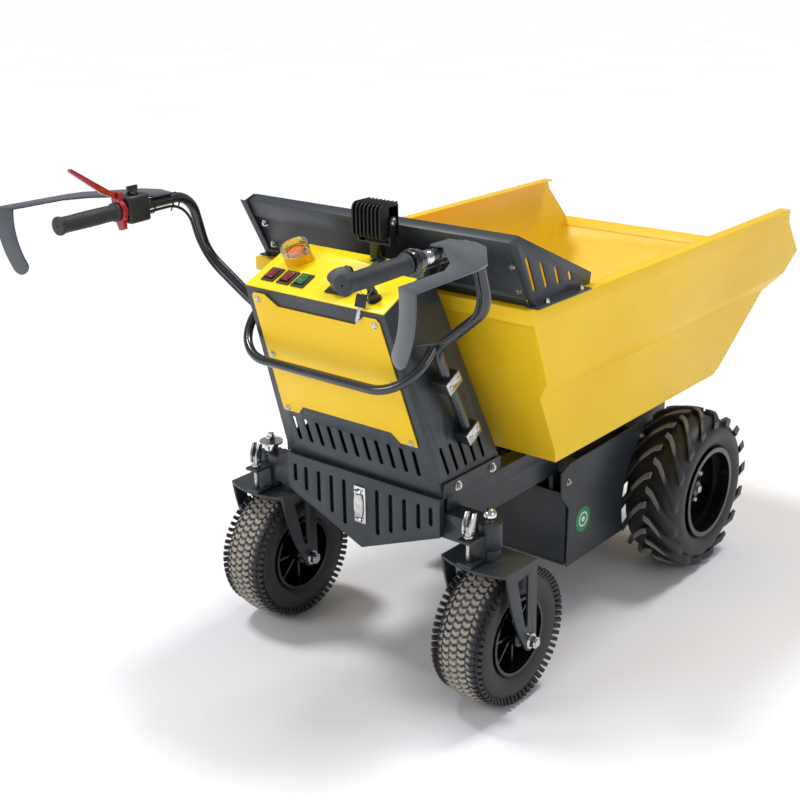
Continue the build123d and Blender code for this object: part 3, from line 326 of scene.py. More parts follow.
def frame_on(origin, axis, up):
    """Matrix whose Z is the axis and whose X is nearest to up."""
    z = Vector(axis).normalized()
    x = Vector(up) - z * Vector(up).dot(z)
    x.normalize()
    y = z.cross(x)
    turn = Matrix((x, y, z)).transposed().to_4x4()
    return Matrix.Translation(Vector(origin)) @ turn


def outward(place, side=1):
    """Frame whose Z points out of the machine's right side, or its left."""
    return frame_on(place, (side, 0, 0), (0, 0, 1))


def on_panel(x, along, height=0.0):
    """Frame on the control panel, millimetres across, up the slope and off its face; Z is off the face."""
    turn = Matrix.Rotation(PANEL_SLOPE, 4, "X")
    return Matrix.Translation(PANEL_EDGE) @ turn @ Matrix.Translation(Vector((x, along, height)) * MM)


def on_bar(along):
    """Frame on the right grip's axis, millimetres forward of the tube's end; X is up."""
    return frame_on(BAR_TIP + BAR_AXIS * along * MM, BAR_AXIS, BAR_UP)


def rounded_block(name, size, radius, matrix, segments=3):
    """Moulded block with rounded edges, standing on the middle of its frame."""
    obj = block(name, [s * MM for s in size], (0, 0, size[2] * MM / 2))
    return settle(soften(bevel(obj, radius * MM, segments)), matrix)


def turned(name, profile, sides=48, matrix=None, closed=False):
    """Lathed piece with its profile in millimetres, tidied and put in place."""
    piece = lathe(name, [(r * MM, z * MM) for r, z in profile], sides, closed)
    return settle(tidy_mesh(piece, EDGE_SHADING), matrix)


# ---- materials ----
def paint(hex_code):
    """sRGB hex to linear RGBA."""
    parts = [int(hex_code[i:i + 2], 16) / 255 for i in (0, 2, 4)]
    return [c / 12.92 if c <= 0.04045 else ((c + 0.055) / 1.055) ** 2.4 for c in parts] + [1.0]


def fill(tree, node, inputs):
    """Set or link the inputs of a node."""
    for key, value in inputs.items():
        if isinstance(value, bpy.types.NodeSocket):
            tree.links.new(value, node.inputs[key])
        else:
            node.inputs[key].default_value = value


def add_node(tree, kind, inputs=None, **settings):
    """Add a node, give it its settings, and fill or link its inputs."""
    node = tree.nodes.new(kind)
    for key, value in settings.items():
        setattr(node, key, value)
    fill(tree, node, inputs or {})
    return node


def blank(name):
    """New material with a shader, and the piece's own coordinates."""
    material = bpy.data.materials.new(name)
    material.use_nodes = True
    tree = material.node_tree
    tree.nodes.clear()
    shader = add_node(tree, "ShaderNodeBsdfPrincipled")
    add_node(tree, "ShaderNodeOutputMaterial", {"Surface": shader.outputs["BSDF"]})
    place = add_node(tree, "ShaderNodeTexCoord")
    return material, tree, shader, place.outputs["Object"]


def per_mm(millimetres):
    """Noise scale whose features are about this many millimetres wide."""
    return 1.0 / (millimetres * MM)


def surface(name, base, shade, roughness, tone_mm, grain_mm, bump, metallic=0.0, ior=1.5, swing=0.06,
            coat=0.0, coat_roughness=0.08, specular=0.5):
    """Two close tones in broad drifts, and a fine grain in the height.

    Real orange peel, spark grain and sand are a few tenths of a millimetre, too fine to show on a whole
    machine, so their grain is drawn one to three millimetres wide.
    """
    material, tree, shader, place = blank(name)
    drift = add_node(tree, "ShaderNodeTexNoise",
                     {"Vector": place, "Scale": per_mm(tone_mm), "Detail": 4.0, "Roughness": 0.55})
    span = add_node(tree, "ShaderNodeMapRange",
                    {"Value": drift.outputs["Fac"], "From Min": 0.35, "From Max": 0.65})
    tones = add_node(tree, "ShaderNodeMix", {
        "Factor": span.outputs["Result"], MIX_A: paint(base), MIX_B: paint(shade)}, data_type="RGBA")
    grain = add_node(tree, "ShaderNodeTexNoise",
                     {"Vector": place, "Scale": per_mm(grain_mm), "Detail": 3.0, "Roughness": 0.6})
    rub = add_node(tree, "ShaderNodeMapRange",
                   {"Value": drift.outputs["Fac"], "From Min": 0.3, "From Max": 0.7,
                    "To Min": roughness - swing, "To Max": roughness + swing})
    relief = add_node(tree, "ShaderNodeBump",
                      {"Height": grain.outputs["Fac"], "Strength": bump, "Distance": grain_mm * MM * 0.25})
    fill(tree, shader, {
        "Base Color": tones.outputs[MIX_RESULT], "Roughness": rub.outputs["Result"],
        "Normal": relief.outputs["Normal"], "Metallic": metallic, "IOR": ior, "Coat Weight": coat,
        "Coat Roughness": coat_roughness, "Specular IOR Level": specular})
    return material


def worn_tread(name, centre, radius, wear_mm, rubber, dust):
    """Moulded carbon-black rubber: dull charcoal, with tread tops scuffed pale and dry by the ground."""
    material, tree, shader, place = blank(name)
    hub = add_node(tree, "ShaderNodeMapping",
                   {"Vector": place, "Location": (0.0, -centre[1], -centre[2]), "Scale": (0.0, 1.0, 1.0)})
    reach = add_node(tree, "ShaderNodeVectorMath", {0: hub.outputs["Vector"]}, operation="LENGTH")
    scuff = add_node(tree, "ShaderNodeTexNoise",
                     {"Vector": place, "Scale": per_mm(9.0), "Detail": 4.0, "Roughness": 0.65})
    ragged = add_node(tree, "ShaderNodeMath",
                      {0: scuff.outputs["Fac"], 1: wear_mm * MM, 2: reach.outputs["Value"]},
                      operation="MULTIPLY_ADD")
    top = add_node(tree, "ShaderNodeMapRange",
                   {"Value": ragged.outputs[0], "From Min": radius - wear_mm * MM * 0.55,
                    "From Max": radius - wear_mm * MM * 0.15})
    bloom = add_node(tree, "ShaderNodeTexNoise",
                     {"Vector": place, "Scale": per_mm(60.0), "Detail": 5.0, "Roughness": 0.6})
    aged = add_node(tree, "ShaderNodeMix", {
        "Factor": bloom.outputs["Fac"], MIX_A: paint(rubber), MIX_B: paint("2E2C2D")}, data_type="RGBA")
    pale = add_node(tree, "ShaderNodeMix", {
        "Factor": top.outputs["Result"], MIX_A: aged.outputs[MIX_RESULT], MIX_B: paint(dust)},
        data_type="RGBA")
    matt = add_node(tree, "ShaderNodeMapRange",
                    {"Value": top.outputs["Result"], "To Min": 0.5, "To Max": 0.85})
    pores = add_node(tree, "ShaderNodeTexNoise", {"Vector": place, "Scale": per_mm(1.5), "Detail": 2.0})
    relief = add_node(tree, "ShaderNodeBump",
                      {"Height": pores.outputs["Fac"], "Strength": 0.25, "Distance": 0.3 * MM})
    fill(tree, shader, {"Base Color": pale.outputs[MIX_RESULT], "Roughness": matt.outputs["Result"],
                        "Normal": relief.outputs["Normal"], "IOR": 1.52})
    return material


def clear_moulding(name, tint):
    """Polycarbonate: see-through with a faint tint and slightly uneven gloss from the mould."""
    material = surface(name, tint, "F2F2F2", 0.06, 30.0, 6.0, 0.06, ior=1.58, swing=0.03)
    shader = next(n for n in material.node_tree.nodes if n.type == "BSDF_PRINCIPLED")
    shader.inputs["Transmission Weight"].default_value = 0.85
    return material


def painted_glow_rocker(name, deep, bright):
    """Tinted rocker lens under a polished skin: a deep tint drifting at random into a brighter tone, and that
    brighter tone is a painted glow.
    """
    return surface(name, deep, bright, 0.16, 7.0, 3.0, 0.05, ior=1.58, swing=0.04, coat=0.6)


def make_finishes():
    """Every finish on the machine, by the record's slot."""
    settings = bpy.context.scene.wheelbarrow_finishes
    return {
        # Enamel powder coat on bent sheet: even colour, a soft wide highlight and fine orange peel.
        "tub_yellow": surface("powder_coat_yellow", settings.tub, "F1C41A", 0.42, 260.0, 2.2, 0.10,
                              specular=0.32),
        # Satin printed film on sheet: a shade lighter and greener than the tub, very smooth.
        "panel_yellow": surface("printed_film_yellow", settings.panel, "F9DC14", 0.32, 180.0, 1.4, 0.04,
                                specular=0.4),
        # Fine textured powder coat on welded plate: blue-grey, dull, with a sandy grain.
        "charcoal_coat": surface("powder_coat_charcoal", settings.chassis, "252B30", 0.42, 140.0, 1.1, 0.22,
                                 coat=0.08, coat_roughness=0.35),
        # Smooth powder coat on tube: dark, with long crisp highlights.
        "tube_coat": surface("powder_coat_tube", "23282C", "1D2225", 0.24, 90.0, 1.5, 0.06,
                             coat=0.55, coat_roughness=0.1),
        # Wet black paint on pressed rims and brackets: near mirror with slight waviness.
        "black_coat": surface("gloss_paint_black", "0B0C0E", "101113", 0.24, 50.0, 3.0, 0.05,
                              coat=0.35, coat_roughness=0.12, specular=0.35),
        # Moulded tyre rubber: charcoal with a brown bloom.
        "tyre_rubber": surface("tyre_rubber", "26272A", "2E2C2D", 0.55, 60.0, 1.5, 0.2, ior=1.52),
        # Soft grip rubber: matt, faintly blue, fine moulded grain.
        "grip_rubber": surface("grip_rubber", "2B2F33", "24282B", 0.6, 30.0, 0.9, 0.3, ior=1.52),
        # Plain pad rubber: black, matt.
        "pad_rubber": surface("pad_rubber", "1A1A1A", "222222", 0.7, 25.0, 1.2, 0.2, ior=1.52),
        # Extruded PVC jacket: black with a narrow highlight.
        "cable_jacket": surface("pvc_jacket", "151618", "1C1D20", 0.34, 40.0, 1.8, 0.06, ior=1.54),
        # Bright zinc plate: silver with a faint blue-yellow passivation drift.
        "zinc_steel": surface("zinc_plate", "C9CACB", "B9B7AC", 0.26, 12.0, 0.8, 0.12, metallic=1.0),
        # Polished chrome plate: sharp reflections, slight ripple.
        "bright_chrome": surface("chrome_plate", "DCDDDF", "D2D4D6", 0.09, 20.0, 2.5, 0.04, metallic=1.0,
                                 swing=0.03),
        # Textured ABS: black, matt, fine spark grain.
        "black_plastic": surface("textured_abs_black", "1A1B1E", "212225", 0.48, 40.0, 0.8, 0.25, ior=1.53),
        # Polished ABS: black with clean highlights.
        "gloss_black": surface("polished_abs_black", "0E0F11", "141517", 0.14, 40.0, 2.5, 0.04, ior=1.53,
                               coat=0.5, coat_roughness=0.06),
        # Moulded grey lid: dull and slightly mottled.
        "grey_plastic": surface("moulded_abs_grey", "3A3D40", "33363A", 0.5, 22.0, 1.0, 0.2, ior=1.53),
        # Acetal collar: saturated yellow, soft gloss.
        "yellow_plastic": surface("acetal_yellow", "F6BE12", "F0B40C", 0.3, 20.0, 2.0, 0.05, ior=1.48),
        # Polished ABS button: orange with a broad pale highlight.
        "orange_plastic": surface("polished_abs_orange", "F07A1A", "E46A14", 0.2, 16.0, 2.0, 0.04, ior=1.53,
                                  coat=0.4),
        # Tinted polycarbonate lens: deep red with a polished skin, drifting at random into a brighter red
        # that is a painted glow.
        "red_rocker": painted_glow_rocker("tinted_lens_red", "4A0710", "8E1220"),
        # The same lens in green: dark green drifting at random into a brighter green that is a painted glow.
        "green_rocker": painted_glow_rocker("tinted_lens_green", "0A4A2C", "17774A"),
        # Clear polycarbonate guard: bright edges, and the button seen through its wall.
        "clear_plastic": clear_moulding("clear_polycarbonate", "E8E0C8"),
        # Gloss enamel on a cast lever: strong red with crisp, narrow highlights.
        "red_coat": surface("enamel_red", "B3121C", "9C0E18", 0.22, 45.0, 2.0, 0.06, coat=0.6),
        # Painted casting: black, pitted, dull.
        "cast_black": surface("painted_casting", "1B1C1E", "242527", 0.55, 35.0, 2.2, 0.5),
        # Black anodised die casting: dark satin metal sheen.
        "finned_aluminium": surface("anodised_casting", "17181A", "1F2022", 0.38, 30.0, 1.2, 0.2,
                                    metallic=0.35),
        # As-cast aluminium: pale grey metal with a grainy skin.
        "bare_aluminium": surface("cast_aluminium", "A9ABAE", "97999C", 0.42, 25.0, 1.4, 0.35, metallic=1.0),
    }


FINISHES = {}


def dress(obj, slot_name, material=None):
    """Give a new piece its finish and its slot."""
    obj.data.materials.clear()
    obj.data.materials.append(material or FINISHES[slot_name])
    return obj


def stand_for(obj, *nodes):
    """A new piece rides where the CAD nodes ride, and is shown in their place."""
    body = body_of(NODES[nodes[0]])[0]
    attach(obj, body)
    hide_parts(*nodes)
    return obj


class FinishNodes(bpy.types.Operator):
    """Give every CAD node the finish of its slot"""
    bl_idname = "wheelbarrow.finish_nodes"
    bl_label = "Finish the machine"

    def execute(self, context):
        FINISHES.update(make_finishes())
        for name, node in NODES.items():
            node.data.materials.clear()
            node.data.materials.append(FINISHES[SLOT_OF[name]])
        return {"FINISHED"}


# ---- folded sheet and cut plate ----
FOLDED = ("tub", "headboard", "headboard_wings", "console_housing", "console_cover", "control_panel",
          "rear_apron", "side_plates", "hand_guards", "battery_pack")
CUT_PLATE = ("chassis_frame", "swivel_beams", "caster_fork_right", "caster_fork_left", "clamp_plates",
             "lamp_bracket", "brake_lever", "brake_perch", "switch_housing", "mode_switch", "latch_base",
             "apron_latch", "tube_clamps", "charge_socket", "selector_knob", "rocker_1", "rocker_2",
             "rocker_3", "lock_pin_right", "lock_pin_left")


class FoldSheets(bpy.types.Operator):
    """Round the folds and cut edges of the sheet parts"""
    bl_idname = "wheelbarrow.fold_sheets"
    bl_label = "Folded sheets"

    def execute(self, context):
        sizes = context.scene.wheelbarrow_sheets
        # Gloss powder coat on the thin guards: the chassis grey, lifted by a clean and shiny top skin.
        guard_finish = surface("powder_coat_gloss_grey", "363E44", "3F474D", 0.3, 40.0, 1.6, 0.08,
                               coat=0.5, coat_roughness=0.08)
        for names, radius in ((FOLDED, sizes.fold_radius), (CUT_PLATE, sizes.plate_radius)):
            for name in names:
                piece = copy_of(NODES[name], name + "_rounded")
                piece.parent = None
                for key in list(piece.keys()):    # the node's own notes stay with the node
                    del piece[key]
                take(piece)
                edit("VERT")
                bpy.ops.mesh.select_all(action="SELECT")
                bpy.ops.mesh.remove_doubles(threshold=CAD_MERGE)
                bpy.ops.mesh.dissolve_limited(angle_limit=math.radians(0.6))
                bpy.ops.object.mode_set(mode="OBJECT")
                soften(bevel(piece, radius))
                dress(piece, SLOT_OF[name], guard_finish if name == "hand_guards" else None)
                stand_for(piece, name)
        return {"FINISHED"}


class InnerSheets(bpy.types.Operator):
    """Inner sheets that close the console's floor and the back of the slotted apron"""
    bl_idname = "wheelbarrow.inner_sheets"
    bl_label = "Inner sheets"

    def execute(self, context):
        low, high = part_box("rear_apron")
        sheet, lip = 1.6 * MM, 14 * MM                # sheet's thickness and the tray's turned-up lip
        tray_front = -246 * MM
        tray = block("tray", (434 * MM, 190 * MM, sheet), (0, -341 * MM, 467.3 * MM))
        edit("FACE")
        pick(lambda co, n: n.y > 0.9)
        bpy.ops.mesh.extrude_region_move(TRANSFORM_OT_translate={"value": (0, sheet, 0)})
        pick(lambda co, n: n.z > 0.9 and co.y > tray_front - 1 * MM)
        bpy.ops.mesh.extrude_region_move(TRANSFORM_OT_translate={"value": (0, 0, lip)})
        bpy.ops.object.mode_set(mode="OBJECT")
        # The backing is square above the apron's corners and runs to a point under them.
        back, corner, gap = -440 * MM, 384 * MM, 6 * MM
        backing = block("backing", (high[0] - low[0] - 2 * gap, sheet, high[2] - corner - gap),
                        (0, back, (high[2] + corner - gap) / 2))
        edit("FACE")
        pick(lambda co, n: n.z < -0.9)
        bpy.ops.mesh.extrude_region_move(TRANSFORM_OT_translate={"value": (0, 0, low[2] - 376 * MM)})
        bpy.ops.transform.resize(value=(0.02, 1, 1), center_override=(0, back, low[2]))
        bpy.ops.object.mode_set(mode="OBJECT")
        sheets = join("inner_sheets", [tray, backing])
        bevel(sheets, 0.4 * MM, 1)
        tidy_mesh(sheets)
        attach(dress(sheets, "charcoal_coat"), "root")
        return {"FINISHED"}


# ---- tyres ----
TYRE_FACETS = 96              # round a tyre body


def crown(distance, radius, drop):
    """Tread radius at a distance from the middle of the tyre."""
    return radius - drop * distance * distance


def carcass(radius, half, rim):
    """Tyre body about Z, without its tread, closed through the bead."""
    wall = ((0, 0.62), (0, 0.74), (0.06, 0.80), (0.22, 0.92), (0.45, 0.985), (0.62, 0.96), (0.80, 0.87),
            (0.90, 0.76))     # share of the way from rim to crown, and of the half width
    profile = [(rim + out * (radius - rim), wide * half) for out, wide in wall]
    profile += [(crown(wide * half, radius, 1.0), wide * half) for wide in (0.60, 0.40, 0.20)]
    profile.append((radius, 0.0))
    mirrored = [(r, -z) for r, z in reversed(profile[:-1])]
    body = lathe("carcass", profile + mirrored + [profile[0]], TYRE_FACETS, closed=True)
    return tidy_mesh(body, BLOCK_SHADING)


def mount_tyre(tyre, kind, middle, finish):
    """Put a tyre on its right-hand axle and its mirror copy on the left one."""
    settle(tyre, Matrix.Translation(middle) @ AXLE)
    dress(soften(tyre, EDGE_SHADING), "tyre_rubber", finish)
    left = copy_of(tyre, kind + "_tread_left", MIRROR_X)
    tyre.name = kind + "_tread_right"
    stand_for(tyre, kind + "_tyre_right")
    stand_for(left, kind + "_tyre_left")


def tread_block(radius, drop, depth, middle, width, length, bend):
    """One tread block: a bar across the tyre, bent at its middle and following the crown."""
    bar = block("tread_block", (depth, length, width), (radius - depth / 2, 0, middle))
    cut_levels([middle])
    edit("VERT")
    for height, lead in ((middle - width / 2, -bend), (middle, bend), (middle + width / 2, -bend)):
        pick_level(height)
        bpy.ops.transform.translate(value=(crown(height, 0, drop), lead, 0))
    edit("FACE")
    pick(lambda co, n: n.x > 0.7)
    bpy.ops.transform.resize(value=(1, 0.82, 0.94))
    bpy.ops.object.mode_set(mode="OBJECT")
    return bar


class CasterTyres(bpy.types.Operator):
    """Turf tyres: staggered bent blocks over the crown, ribbed shoulders and moulding hairs"""
    bl_idname = "wheelbarrow.caster_tyres"
    bl_label = "Caster tyres"

    def execute(self, context):
        sizes = context.scene.wheelbarrow_tyres
        radius, half = CASTER_SIZE.z / 2, CASTER_SIZE.x / 2
        depth, root = sizes.caster_depth, 3 * MM      # the blocks are rooted this far into the body
        drop = 4.2                                    # metres the crown falls per square metre across
        pitch = math.tau * radius / sizes.caster_pitches
        body = carcass(radius - depth, half - 1.5 * MM, 86 * MM)
        blocks = []
        for column, middle in enumerate((-40, -20, 0, 20, 40)):
            bar = tread_block(radius, drop, depth + root, middle * MM, 17.2 * MM, pitch * 0.62, 2.2 * MM)
            if column % 2:
                move_mesh(bar, Matrix.Rotation(math.pi / sizes.caster_pitches, 4, "Z"))
            blocks.append(bar)
        for side in (-1, 1):
            rib = block("rib", (24 * MM, pitch * 0.6, 9 * MM), (radius - 21 * MM, 0, side * 56 * MM),
                        (0, side * math.radians(-32), 0))
            edit("FACE")
            pick(lambda co, n: n.x > 0.6 or n.z * side > 0.6)
            bpy.ops.transform.resize(value=(1, 0.8, 1))
            bpy.ops.object.mode_set(mode="OBJECT")
            blocks.append(rib)
            bpy.ops.mesh.primitive_cone_add(
                vertices=4, radius1=0.7 * MM, radius2=0.2 * MM, depth=6 * MM,
                location=(radius - 9 * MM, pitch * 0.3, side * 53 * MM),
                rotation=(0, side * math.radians(60), 0))
            blocks.append(settle(bpy.context.object))
        tread = array_round(join("tread", blocks), sizes.caster_pitches)
        # Turf tyre rubber: nearly black in the grooves, with a dusty grey net of block tops.
        finish = worn_tread("turf_tread_rubber", CASTER_MIDDLE, radius, 7.0, "1B1C1F", "A39C93")
        mount_tyre(join("caster_tyre", [body, tread]), "caster", CASTER_MIDDLE, finish)
        return {"FINISHED"}


LUG_STATIONS = ((-3, 0.0, 17), (14, 3.0, 17), (32, 11.0, 18), (50, 21.0, 20), (66, 31.0, 23), (78, 39.0, 26))
LUG_SWEEP = 0.78              # share of each station's sweep that the lug takes


def lug(radius, drop, height):
    """One bar of the driving tread, from just over the middle out to the shoulder, swept back.

    A station is a distance from the middle in millimetres, the sweep in degrees and the bar's width there.
    """
    root = 4 * MM             # the bar is rooted this far into the tyre body
    low, high, narrow = LUG_STATIONS[0][0] * MM, LUG_STATIONS[-1][0] * MM, LUG_STATIONS[0][2]
    bar = block("lug", (height + root, narrow * MM, high - low),
                (radius - (height + root) / 2, 0, (low + high) / 2))
    cut_levels([station[0] * MM for station in LUG_STATIONS[1:-1]])
    edit("VERT")
    for z, sweep, width in LUG_STATIONS:
        pick_level(z * MM)
        bpy.ops.transform.resize(value=(1, width / narrow, 1), center_override=(radius, 0, z * MM))
        bpy.ops.transform.translate(value=(crown(z * MM, 0, drop), 0, 0))
        bpy.ops.transform.rotate(
            value=-math.radians(sweep) * LUG_SWEEP, orient_axis="Z", center_override=(0, 0, z * MM))
    bpy.ops.object.mode_set(mode="OBJECT")
    return bevel(bar, 1.5 * MM, 1, BLOCK_SHADING)


class DriveTyres(bpy.types.Operator):
    """Driving tyres with deep swept lugs on both sides, half a pitch apart"""
    bl_idname = "wheelbarrow.drive_tyres"
    bl_label = "Drive tyres"

    def execute(self, context):
        sizes = context.scene.wheelbarrow_tyres
        radius, half = DRIVE_SIZE.z / 2, DRIVE_SIZE.x / 2
        height, drop = sizes.drive_depth, 2.3
        body = carcass(radius - height, half - 1.5 * MM, 114 * MM)
        near = lug(radius, drop, height)
        far = copy_of(near, "far_lug", Matrix.Rotation(math.pi / sizes.drive_pitches, 4, "Z")
                      @ Matrix.Scale(-1, 4, (0, 0, 1)))
        tread = array_round(join("lugs", [near, far]), sizes.drive_pitches)
        # Driving tyre rubber: charcoal, with only the crests of the lugs rubbed to warm grey.
        finish = worn_tread("lug_tread_rubber", DRIVE_MIDDLE, radius, 5.0, "1E1F21", "7F7B76")
        mount_tyre(join("drive_tyre", [body, tread]), "drive", DRIVE_MIDDLE, finish)
        return {"FINISHED"}


class WheelNuts(bpy.types.Operator):
    """Bright domed nuts over the studs of the drive wheels, and a zinc bolt on each hub"""
    bl_idname = "wheelbarrow.wheel_nuts"
    bl_label = "Wheel nuts"

    def execute(self, context):
        nuts = []
        studs = 5
        for number in range(studs):
            turn = Matrix.Rotation(math.tau * number / studs, 3, "X")
            seat = outward(DRIVE_MIDDLE + turn @ Vector((4, 0, 60)) * MM)
            nuts += [
                turned("flats", [(13, 0), (13, 1.6), (10.6, 1.7), (10.6, 13.5), (9.6, 14.5), (1, 14.5)],
                       6, seat),
                turned("dome", [(8.4, 13.5), (8.2, 16.5), (6.6, 18.4), (3.8, 19.4), (0.6, 19.8)], 24, seat)]
        nuts.append(turned("hub_bolt", [(15, -0.5), (15, 1.4), (11, 1.6), (11, 8), (9.8, 9.2), (1, 9.2)], 6,
                           outward(DRIVE_MIDDLE + Vector((38, 0, 0)) * MM)))
        right = join("drive_nuts_right", nuts)
        left = copy_of(right, "drive_nuts_left", MIRROR_X)
        for piece, node in ((right, "drive_rim_right"), (left, "drive_rim_left")):
            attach(dress(piece, "zinc_steel"), body_of(NODES[node])[0])
        return {"FINISHED"}


# ---- handlebar fittings ----
def grip_profile(length, bore):
    """Rubber grip: a flat flared end with a small hole, a slight swell, and a collar at the front."""
    return [(2, -3), (2, -8), (14, -8), (18, -7.4), (19, -5), (19, -2), (17.6, 2), (16.4, 8), (16.3, 20),
            (16.9, 0.35 * length), (17.0, 0.6 * length), (16.4, length - 24), (16.5, length - 14),
            (19.2, length - 11), (19.6, length - 8), (19.2, length - 5.2), (17, length - 4),
            (bore, length - 4), (bore, -3), (2, -3)]


class Grips(bpy.types.Operator):
    """Rubber grips, the throttle collar with its rings, and a bright sleeve on the bar before it"""
    bl_idname = "wheelbarrow.grips"
    bl_label = "Grips"

    def execute(self, context):
        right = turned("throttle_grip_rubber", grip_profile(157, BAR_RADIUS), 56, on_bar(0), closed=True)
        stand_for(dress(right, "grip_rubber"), "throttle_grip")
        left = turned("left_grip_rubber", grip_profile(143, 11.0), 56, on_bar(0), closed=True)
        stand_for(dress(move_mesh(left, MIRROR_X), "grip_rubber"), "grip_left")
        collar = turned("collar", [
            (11, 155), (21, 155), (23.4, 156), (24, 158.5), (24, 161), (23, 162.2), (23, 163.4),
            (24.2, 164.6), (24.2, 170), (23, 172), (20.6, 173), (20, 175), (20, 184), (18.6, 187),
            (15, 188), (11, 188), (11, 155)], 64, on_bar(0), closed=True)
        boss = rounded_block("boss", (18, 24, 17), 3, frame_on(
            BAR_TIP + BAR_AXIS * 176 * MM - BAR_UP * 11 * MM, -BAR_UP, BAR_AXIS))
        housing = join("throttle_collar", [collar, boss])
        stand_for(dress(housing, "gloss_black"), "throttle_housing")
        sleeve = turned("throttle_sleeve", [
            (11.1, 189), (12.6, 189), (13, 190), (13, 199), (12.4, 200), (12.4, 202), (13, 203), (13, 212),
            (12.2, 213), (11.1, 213), (11.1, 189)], matrix=on_bar(0), closed=True)
        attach(dress(sleeve, "bright_chrome"), "root")
        return {"FINISHED"}


class BrakeCollar(bpy.types.Operator):
    """Red clamp collar of the brake lever, drawn out to a point below and up to the lever"""
    bl_idname = "wheelbarrow.brake_collar"
    bl_label = "Brake collar"

    def execute(self, context):
        collar = turned("brake_collar", [
            (BAR_RADIUS, 141), (21.4, 141), (23, 142.4), (23, 151), (21.4, 152.4), (BAR_RADIUS, 152.4),
            (BAR_RADIUS, 141)], closed=True)
        take(collar)
        edit("VERT")
        for reach, pull in ((20.5, 9), (22.3, 7)):
            for way in (-1, 1):
                pick(lambda co, n: co.x * way > reach * MM, "verts")
                bpy.ops.transform.translate(value=(way * pull * MM, 0, 0))
        bpy.ops.object.mode_set(mode="OBJECT")
        bevel(collar, 0.5 * MM, 2, 60)
        settle(collar, on_bar(0) @ Matrix.Rotation(math.radians(12), 4, "Z"))
        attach(dress(move_mesh(collar, MIRROR_X), "red_coat"), "root")
        return {"FINISHED"}


class CableTies(bpy.types.Operator):
    """Nylon ties that hold each cable under its bar, with their cut tails"""
    bl_idname = "wheelbarrow.cable_ties"
    bl_label = "Cable ties"

    def execute(self, context):
        ties = []
        for along in (232, 300):
            band = turned("band", [(15.4, -2.2), (16.6, -2.2), (16.9, 0), (16.6, 2.2), (15.4, 2.2),
                                   (15.4, -2.2)], 40, closed=True)
            lowered = on_bar(along) @ shift(-4.6, 0, 0)
            settle(band, lowered @ Matrix.Scale(0.74, 4, (0, 1, 0)))
            lock = rounded_block("lock", (5, 4, 4.5), 0.8, lowered @ shift(-7, 11.5, -2.2))
            tail = rounded_block("tail", (1.2, 3.6, 14), 0.4, lowered @ shift(-12, 9, 0)
                                 @ Matrix.Rotation(math.radians(-120), 4, "Y"))
            ties += [band, lock, tail]
        right = join("cable_ties_right", ties)
        left = copy_of(right, "cable_ties_left", MIRROR_X)
        for tie in (right, left):
            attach(dress(tie, "black_plastic"), "root")
        return {"FINISHED"}


# ---- control panel fittings ----
class StopButton(bpy.types.Operator):
    """Mushroom button and the clear guard ring that sits on its collar"""
    bl_idname = "wheelbarrow.stop_button"
    bl_label = "Stop button"

    def execute(self, context):
        cap = turned("stop_mushroom", [
            (6, -22), (6, 12), (18.5, 12), (20, 13.5), (20, 18), (19, 20.5), (16, 22.6), (10, 23.7), (4, 24),
            (0.6, 24)], 56, on_panel(*STOP_PLACE))
        stand_for(dress(cap, "orange_plastic"), "estop_button")
        collar_top = on_panel(*STOP_PLACE, 20.4)
        ring = turned("ring", [
            (27.5, 0), (29.2, 0), (30, 0.8), (30, 14.8), (29.2, 16), (28.2, 16), (27.5, 15.2), (27.5, 0)],
            72, collar_top, closed=True)
        hinge = rounded_block("hinge", (9, 10, 5), 1.2, collar_top @ shift(33, 0, 0))
        guard = join("stop_guard_ring", [ring, hinge])
        stand_for(dress(guard, "clear_plastic"), "estop_cover")
        return {"FINISHED"}


class InletLid(bpy.types.Operator):
    """Dished lid of the charging inlet with its hinge"""
    bl_idname = "wheelbarrow.inlet_lid"
    bl_label = "Inlet lid"

    def execute(self, context):
        seat = on_panel(*INLET_PLACE, 26.4)
        dish = turned("dish", [
            (6, -6), (17, -6), (18, -5), (18, 0), (24.5, 0), (26, 1.2), (26, 3.8), (25.2, 5), (23.6, 5),
            (22, 4), (16, 3.2), (8, 2.8), (0.8, 2.7)], 64, seat)
        hinge = rounded_block("hinge", (14, 7, 5), 1.4, seat @ shift(0, 26.5, 0))
        lid = join("inlet_lid_dished", [dish, hinge])
        stand_for(dress(lid, "grey_plastic"), "charge_lid")
        return {"FINISHED"}


def key_blade(name, length, matrix):
    """Flat milled blade with notched edge, pointing along Z."""
    tip, steps, notch = length * MM, 8, 1.8 * MM
    blade = block(name, (8 * MM, 2 * MM, tip), (0, 0, tip / 2))
    cut_levels([tip * step / steps for step in range(1, steps)])
    edit("VERT")
    for step in range(2, steps, 2):
        pick_level(tip * step / steps, side=1)
        bpy.ops.transform.translate(value=(-notch, 0, 0))
    pick_level(tip)
    bpy.ops.transform.resize(value=(0.35, 1, 1), center_override=(0, 0, tip))
    bpy.ops.object.mode_set(mode="OBJECT")
    bevel(blade, 0.3 * MM, 1)
    return settle(blade, matrix)


